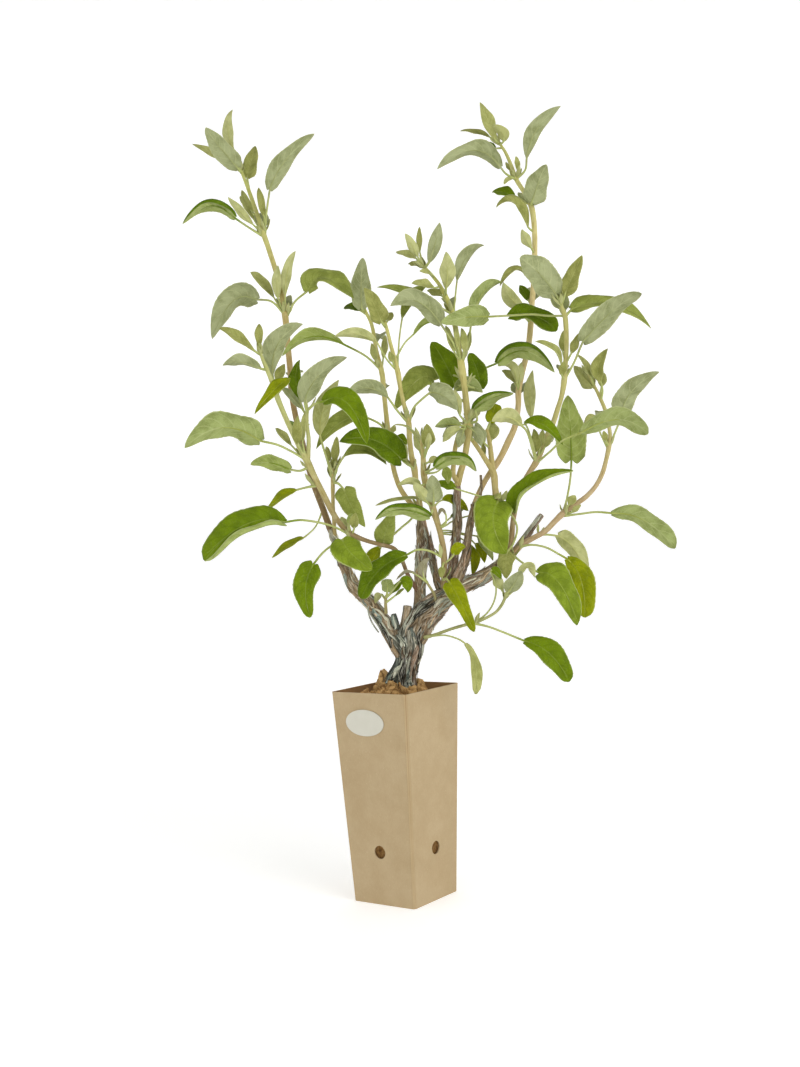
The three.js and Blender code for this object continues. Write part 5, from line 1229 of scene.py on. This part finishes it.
strands = [  # cords of old wood that lie over the fork, and dark tubes between them that paint the shade in the hollows
    ([(9, 246, -10, 2.4), (14, 259, -11, 2.8), (24, 273, -9, 3.1), (38, 284, -7, 3), (54, 291, -6, 2.7),
      (68, 297, -5, 2)], "silver"),
    ([(3, 196, -7, 3), (7, 210, -9, 3.2), (12, 226, -10, 3), (16, 240, -12, 2.6), (15, 254, -12, 2)],
     "cream"),
    ([(17, 199, -6, 3.4), (18, 214, -7, 3), (21, 230, -9, 2.6), (26, 246, -9, 2.2), (34, 262, -8, 1.6)],
     "rose"),
    ([(-4, 199, -4, 2.6), (1, 212, -7, 2.8), (8, 224, -10, 2.4), (9, 238, -12, 2), (4, 250, -9, 1.4)],
     "blueGrey"),
    ([(9, 232, -9, 2.6), (0, 246, -7, 2.6), (-9, 258, -5, 2.4), (-19, 274, -3, 1.8)], "silver"),
    ([(6, 200, -11, 2.6), (7, 210, -12, 3), (9, 221, -12, 2.2), (10, 230, -12, 1)], "hollowShade"),
    ([(24, 226, -9, 1), (25, 236, -10, 2), (24, 246, -11, 2.2), (28, 256, -10, 1)], "hollowShade"),
    ([(-2, 238, -8, 1), (-4, 247, -9, 2.2), (-8, 255, -8, 2), (-12, 262, -7, 1)], "hollowShade"),
    ([(18, 262, -11, 1), (25, 268, -12, 2), (34, 274, -11, 1.8), (42, 279, -10, 1)], "hollowShade"),
]


def makeWoodLayers(bm):
    tone = bm.verts.layers.float_color.new("tone")
    return {"tone": tone, "grain": bm.verts.layers.float_vector.new("grain")}


def makeTrunk():
    s = barkSettings
    dice = random.Random(s["seed"])
    limbs = [(limb, mix, mix is not oldBark) for limb, mix in zip(wood, barkMixes)]
    limbs += [(strand, [tone, "silver", "brown"], False) for strand, tone in strands]
    parts = []
    for limb, mix, pale in limbs:
        bm = bmesh.new()
        layers = makeWoodLayers(bm)
        points = [list(seen(point)) + [point[3] * mm] for point in limb]
        rows = throughPoints(points, s["ringSpacing"] * mm)
        makeLimb(bm, layers, rows, mix[0], pale, dice)
        frames = framesAlong(rows)
        size = sum(row[3] for row in rows) / len(rows) / mm
        if size > 2 and len(frames) > 8:
            for _ in range(round(len(frames) * s["ringSpacing"] * s["stripsPerLength"] * size / 10)):
                makeStrip(bm, layers, frames, mix, pale, dice)
        parts.append(bm)
    finishMesh(joined(parts), "bark", [makeBarkFinish()], ["trunk"])


makeTrunk()
print("bark done")

# Soil: the same lumps as the solid, broken up into clods, with crumbs and coir fibres on top

soilSettings = {
    "seed": 12,
    "lumps": [  # x, z, depth, height and spread
        (-10, 200, 14, 24, 9), (-6, 200, -14, 13, 13), (4, 200, -30, 7, 12), (22, 200, 8, 17, 8),
        (20, 200, -12, 9, 9), (-22, 200, -6, 6, 12), (12, 200, 26, 8, 12),
    ],
    "level": 193,
    "sag": 26,  # towards the corners
    "rimDrop": 6,
    "cells": 120,
    "clodSize": 9,
    "clod": 3.8,
    "crackEdge": 7,
    "crackDepth": 2,
    "grit": 0.55,
    "batches": 6,  # the crumbs and fibres are made in a few lots, as operators slow down on a large mesh
    "crumbs": 300,
    "crumbSizes": [0.5, 0.7, 0.9, 1.2],
    "fibres": 160,
    "fibreReach": (1.5, 4.5),
    "fibreRadius": 0.13,
    "light": paint(224, 184, 124),
    "middle": paint(202, 158, 98),
    # the dark tone is painted shade, in the cracks between clods and on the sides against the pot wall
    "dark": paint(120, 86, 44),
}
potSizes = {"height": 200, "topSide": 88, "footSide": 71, "wall": 1.6, "clearance": 0.4}
widening = (potSizes["topSide"] - potSizes["footSide"]) / 2 / potSizes["height"]


def roomAt(height):  # half the inside of the pot, at a height
    p = potSizes
    return p["topSide"] / 2 - p["wall"] - p["clearance"] + widening * (height - p["height"])


def soilHeight(x, y):
    s = soilSettings
    share = max(abs(x), abs(y)) / (2 * roomAt(potSizes["height"]))
    z = s["level"] - s["sag"] * share * share
    for lump in s["lumps"]:
        at = seen(lump) / mm
        z += lump[3] * math.exp(-((x - at.x) ** 2 + (y - at.y) ** 2) / lump[4] ** 2)
    spot = Vector((x, y, 3.0))
    wobble = noise.noise_vector(spot / 5) * 0.18
    distances, centres = noise.voronoi(spot / s["clodSize"] + wobble)
    crack = min(1, (distances[1] - distances[0]) * s["crackEdge"])
    clods = noise.cell(centres[0] * 9) * s["clod"]
    fine = noise.fractal(spot / 1.6, 0.8, 2.0, 3) * s["grit"]
    return z + clods * crack + fine - (1 - crack) * s["crackDepth"], crack


def makeSoilFinish():
    finish = Finish("coir soil", {"Roughness": 0.95, "Specular IOR Level": 0.15})
    tone = finish.attribute("tone")
    specks = finish.grain(1700, 4, 0.7)
    patches = finish.grain(260, 3)
    dark = finish.mix(1.0, tone, paint(138, 108, 76), "MULTIPLY")
    light = finish.mix(0.5, tone, paint(228, 192, 140))
    base = finish.mix(finish.smooth(patches, 0.4, 0.65) * 0.6, tone, dark)
    base = finish.mix(finish.smooth(specks, 0.56, 0.7) * 0.7, base, light)
    finish.feed("Base Color", finish.mix((1 - finish.smooth(specks, 0.3, 0.46)) * 0.8, base, dark))
    finish.bump(specks + patches * 0.5, 0.9, 1.2 * mm)
    return finish


def scatterCrumbs(bm, tone, count, dice):
    s = soilSettings
    room = roomAt(s["level"] - s["rimDrop"]) - 3
    for _ in range(count):
        x, y = dice.uniform(-room, room), dice.uniform(-room, room)
        size = dice.choice(s["crumbSizes"])
        height = soilHeight(x, y)[0] + size * 0.3
        place = Matrix.Translation(Vector((x, y, height)) * mm)
        made = bmesh.ops.create_icosphere(bm, subdivisions=1, radius=size * mm, matrix=place)
        shade = mixTone(s["middle"], s["light"], dice.random())
        for vert in made["verts"]:
            vert.co += noise.noise_vector(vert.co * 900) * size * 0.35 * mm
            vert[tone] = shade


def scatterFibres(bm, tone, count, dice):
    s = soilSettings
    room = roomAt(s["level"] - s["rimDrop"]) - 5
    for _ in range(count):
        x, y, turn = dice.uniform(-room, room), dice.uniform(-room, room), dice.uniform(0, 2 * math.pi)
        reach, bend = dice.uniform(*s["fibreReach"]), dice.uniform(-1, 1)
        points = []
        for step in range(-2, 3):
            way = turn + bend * step * 0.25
            px = max(-room, min(room, x + math.cos(way) * reach * step / 2))
            py = max(-room, min(room, y + math.sin(way) * reach * step / 2))
            height = soilHeight(px, py)[0] + dice.uniform(0.2, 1.0)
            points.append([px * mm, py * mm, height * mm, s["fibreRadius"] * mm])
        shade = mixTone(s["middle"], s["light"], dice.uniform(0.3, 1))
        for ring in makeTube(bm, framesAlong(throughPoints(points, 1.2 * mm)), 4):
            ring[0][tone] = shade


def makeSoil():
    s = soilSettings
    dice = random.Random(s["seed"])
    noise.seed_set(s["seed"])  # without this, noise_vector differs from run to run
    bm = bmesh.new()
    tone = bm.verts.layers.float_color.new("tone")
    bmesh.ops.create_grid(bm, x_segments=s["cells"], y_segments=s["cells"], size=1)
    for vert in bm.verts:
        u, v = vert.co.x, vert.co.y
        room = roomAt(s["level"] - s["rimDrop"])
        height, crack = soilHeight(u * room, v * room)
        side = roomAt(min(height, potSizes["height"]))
        vert.co = Vector((u * side, v * side, height)) * mm
        # painted shade and light: the soil is darker where it lies low, at the corners, and lighter on the
        # lump tops
        shade = mixTone(s["middle"], s["light"], min(1, max(0, (height - 188) / 20)))
        # painted shade in the cracks between clods
        vert[tone] = mixTone(s["dark"], shade, crack)
    rim = [edge for edge in bm.edges if edge.is_boundary]
    grown = bmesh.ops.extrude_edge_only(bm, edges=rim)
    foot = potSizes["wall"] + potSizes["clearance"]
    for vert in once(item for item in grown["geom"] if isinstance(item, bmesh.types.BMVert)):
        share = roomAt(foot) / roomAt(min(vert.co.z / mm, potSizes["height"]))
        vert.co = Vector((vert.co.x * share, vert.co.y * share, foot * mm))
        # the sides against the pot wall get the dark tone as painted shade
        vert[tone] = s["dark"]
    bmesh.ops.holes_fill(bm, edges=[edge for edge in bm.edges if edge.is_boundary], sides=0)
    bmesh.ops.recalc_face_normals(bm, faces=bm.faces)
    parts = [bm]
    for _ in range(s["batches"]):
        bm = bmesh.new()
        tone = bm.verts.layers.float_color.new("tone")
        scatterCrumbs(bm, tone, s["crumbs"] // s["batches"], dice)
        scatterFibres(bm, tone, s["fibres"] // s["batches"], dice)
        parts.append(bm)
    finishMesh(joined(parts), "coir_soil", [makeSoilFinish()], ["soil"])


makeSoil()
print("soil done")

# Carton pot and its bare paper label keep their solids


def makeKraftFinish():
    finish = Finish("kraft carton", {"Roughness": 0.82, "Specular IOR Level": 0.3})
    fibres = finish.grain(700, 4, 0.6, stretch=(1, 1, 0.5))
    clouds = finish.grain(38, 3)
    flecks = finish.grain(1500, 2, 0.5, stretch=(1, 1, 0.5))
    warm = finish.mix(finish.smooth(clouds, 0.3, 0.7), paint(174, 152, 116), paint(181, 160, 125))
    base = finish.mix(finish.smooth(fibres, 0.5, 0.75) * 0.18, warm, paint(196, 177, 142))
    base = finish.mix(finish.smooth(fibres, 0.5, 0.3) * 0.15, base, paint(162, 138, 100))
    base = finish.mix(finish.smooth(flecks, 0.69, 0.75) * 0.5, base, paint(214, 200, 170))
    base = finish.mix((1 - finish.smooth(flecks, 0.24, 0.3)) * 0.5, base, paint(140, 112, 76))
    x, y, z = finish.parts(finish.spot())
    corner = finish.maths("ABSOLUTE", x) + finish.maths("ABSOLUTE", y) - z * (2 * widening)
    edge = (potSizes["footSide"] - 2.5) * mm
    crease = finish.smooth(corner, edge - 1.2 * mm, edge - 0.2 * mm)
    base = finish.mix(crease * 0.3, base, paint(168, 144, 104))
    # painted shade: the pot's inside wall is a darker brown
    reach = finish.maths("MAXIMUM", finish.maths("ABSOLUTE", x), finish.maths("ABSOLUTE", y)) - z * widening
    wall = potSizes["footSide"] / 2
    inside = 1 - finish.smooth(reach, (wall - 1.3) * mm, (wall - 0.9) * mm)
    finish.feed("Base Color", finish.mix(inside, base, paint(140, 106, 66)))
    finish.bump(fibres * 0.6 + flecks * 0.3 + finish.grain(90, 2) * 1.5, 0.25, 0.5 * mm)
    return finish


def makePaperFinish():
    finish = Finish("label paper", {"Roughness": 0.6})
    clouds = finish.grain(120, 3)
    fibres = finish.grain(2200, 3)
    base = finish.mix(clouds, paint(198, 195, 181), paint(206, 204, 191))
    finish.feed("Base Color", finish.mix(finish.smooth(fibres, 0.6, 0.8) * 0.3, base, paint(200, 196, 178)))
    finish.bump(fibres, 0.15, 0.3 * mm)
    return finish


for node, finish in (("pot", makeKraftFinish()), ("label", makePaperFinish())):
    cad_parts[node].data.materials.clear()
    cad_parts[node].data.materials.append(finish.material)
print("pot and label finished")

# Camera, light, floor

camera = bpy.data.objects.new("camera", bpy.data.cameras.new("camera"))
bpy.context.scene.collection.objects.link(camera)
bpy.context.scene.camera = camera
camera.data.lens = viewSettings["lens"]
pitch, roll = math.radians(viewSettings["pitch"]), math.radians(viewSettings["roll"])
levelRight = Vector((1, 0, 0))
levelUp = Vector((0, math.sin(pitch), math.cos(pitch)))
forward = Vector((0, math.cos(pitch), -math.sin(pitch)))
right = levelRight * math.cos(roll) - levelUp * math.sin(roll)
upward = levelRight * math.sin(roll) + levelUp * math.cos(roll)
pose = Matrix((right, upward, -forward)).transposed()
eye = Vector((viewSettings["side"], -viewSettings["distance"], viewSettings["height"])) * mm
camera.matrix_world = Matrix.Translation(turnRound @ eye) @ (turnRound @ pose).to_4x4()

stageSettings = {
    "floorRadius": 3.0,
    "wallCurve": 0.9,
    "wallHeight": 2.6,
    "floorTone": (0.9, 0.9, 0.89, 1),
    "glow": 0.34,
    "sky": 0.27,
    "lights": {  # how far right, behind and up, how wide, and the power
        "key light": (1.0, -1.3, 1.5, 1.2, 13),
        "fill light": (-1.4, -0.9, 1.1, 1.4, 2.2),
        "rear light": (0.3, 1.4, 1.6, 1.4, 4),
    },
    "lightsAimAt": 0.35,
}


def makeStage():
    s = stageSettings
    bm = bmesh.new()
    bmesh.ops.create_circle(bm, cap_ends=True, segments=96, radius=s["floorRadius"] - s["wallCurve"])
    rim = list(bm.edges)
    steps = 10
    for step in range(1, steps + 2):
        angle = math.pi / 2 * min(step, steps) / steps
        reach = s["floorRadius"] - s["wallCurve"] * (1 - math.sin(angle))
        height = s["wallCurve"] * (1 - math.cos(angle)) if step <= steps else s["wallHeight"]
        grown = bmesh.ops.extrude_edge_only(bm, edges=rim)
        rim = [item for item in grown["geom"] if isinstance(item, bmesh.types.BMEdge)]
        for vert in once(vert for edge in rim for vert in edge.verts):
            vert.co.z = 0
            vert.co = vert.co.normalized() * reach
            vert.co.z = height
    bmesh.ops.recalc_face_normals(bm, faces=bm.faces)
    mesh = bpy.data.meshes.new("floor")
    bm.to_mesh(mesh)
    bm.free()
    mesh.shade_smooth()
    glow = {"Emission Color": (1, 1, 1, 1), "Emission Strength": s["glow"]}
    finish = Finish("pale floor", {"Base Color": s["floorTone"], "Roughness": 0.9} | glow)
    mesh.materials.append(finish.material)
    floor = bpy.data.objects.new("floor", mesh)
    bpy.context.scene.collection.objects.link(floor)


def addLight(name, side, depth, height, size, power):
    lamp = bpy.data.lights.new(name, "AREA")
    lamp.shape = "DISK"
    lamp.size = size
    lamp.energy = power
    light = bpy.data.objects.new(name, lamp)
    bpy.context.scene.collection.objects.link(light)
    light.location = turnRound @ Vector((side, depth, height))
    towards = Vector((0, 0, stageSettings["lightsAimAt"])) - light.location
    light.rotation_euler = towards.to_track_quat("-Z", "Y").to_euler()


makeStage()
for name, row in stageSettings["lights"].items():
    addLight(name, *row)
world = bpy.data.worlds.new("white room")
world.use_nodes = True
world.node_tree.nodes["Background"].inputs["Color"].default_value = (1, 1, 1, 1)
world.node_tree.nodes["Background"].inputs["Strength"].default_value = stageSettings["sky"]
bpy.context.scene.world = world
bpy.context.scene.view_settings.view_transform = "Standard"
print("stage done")
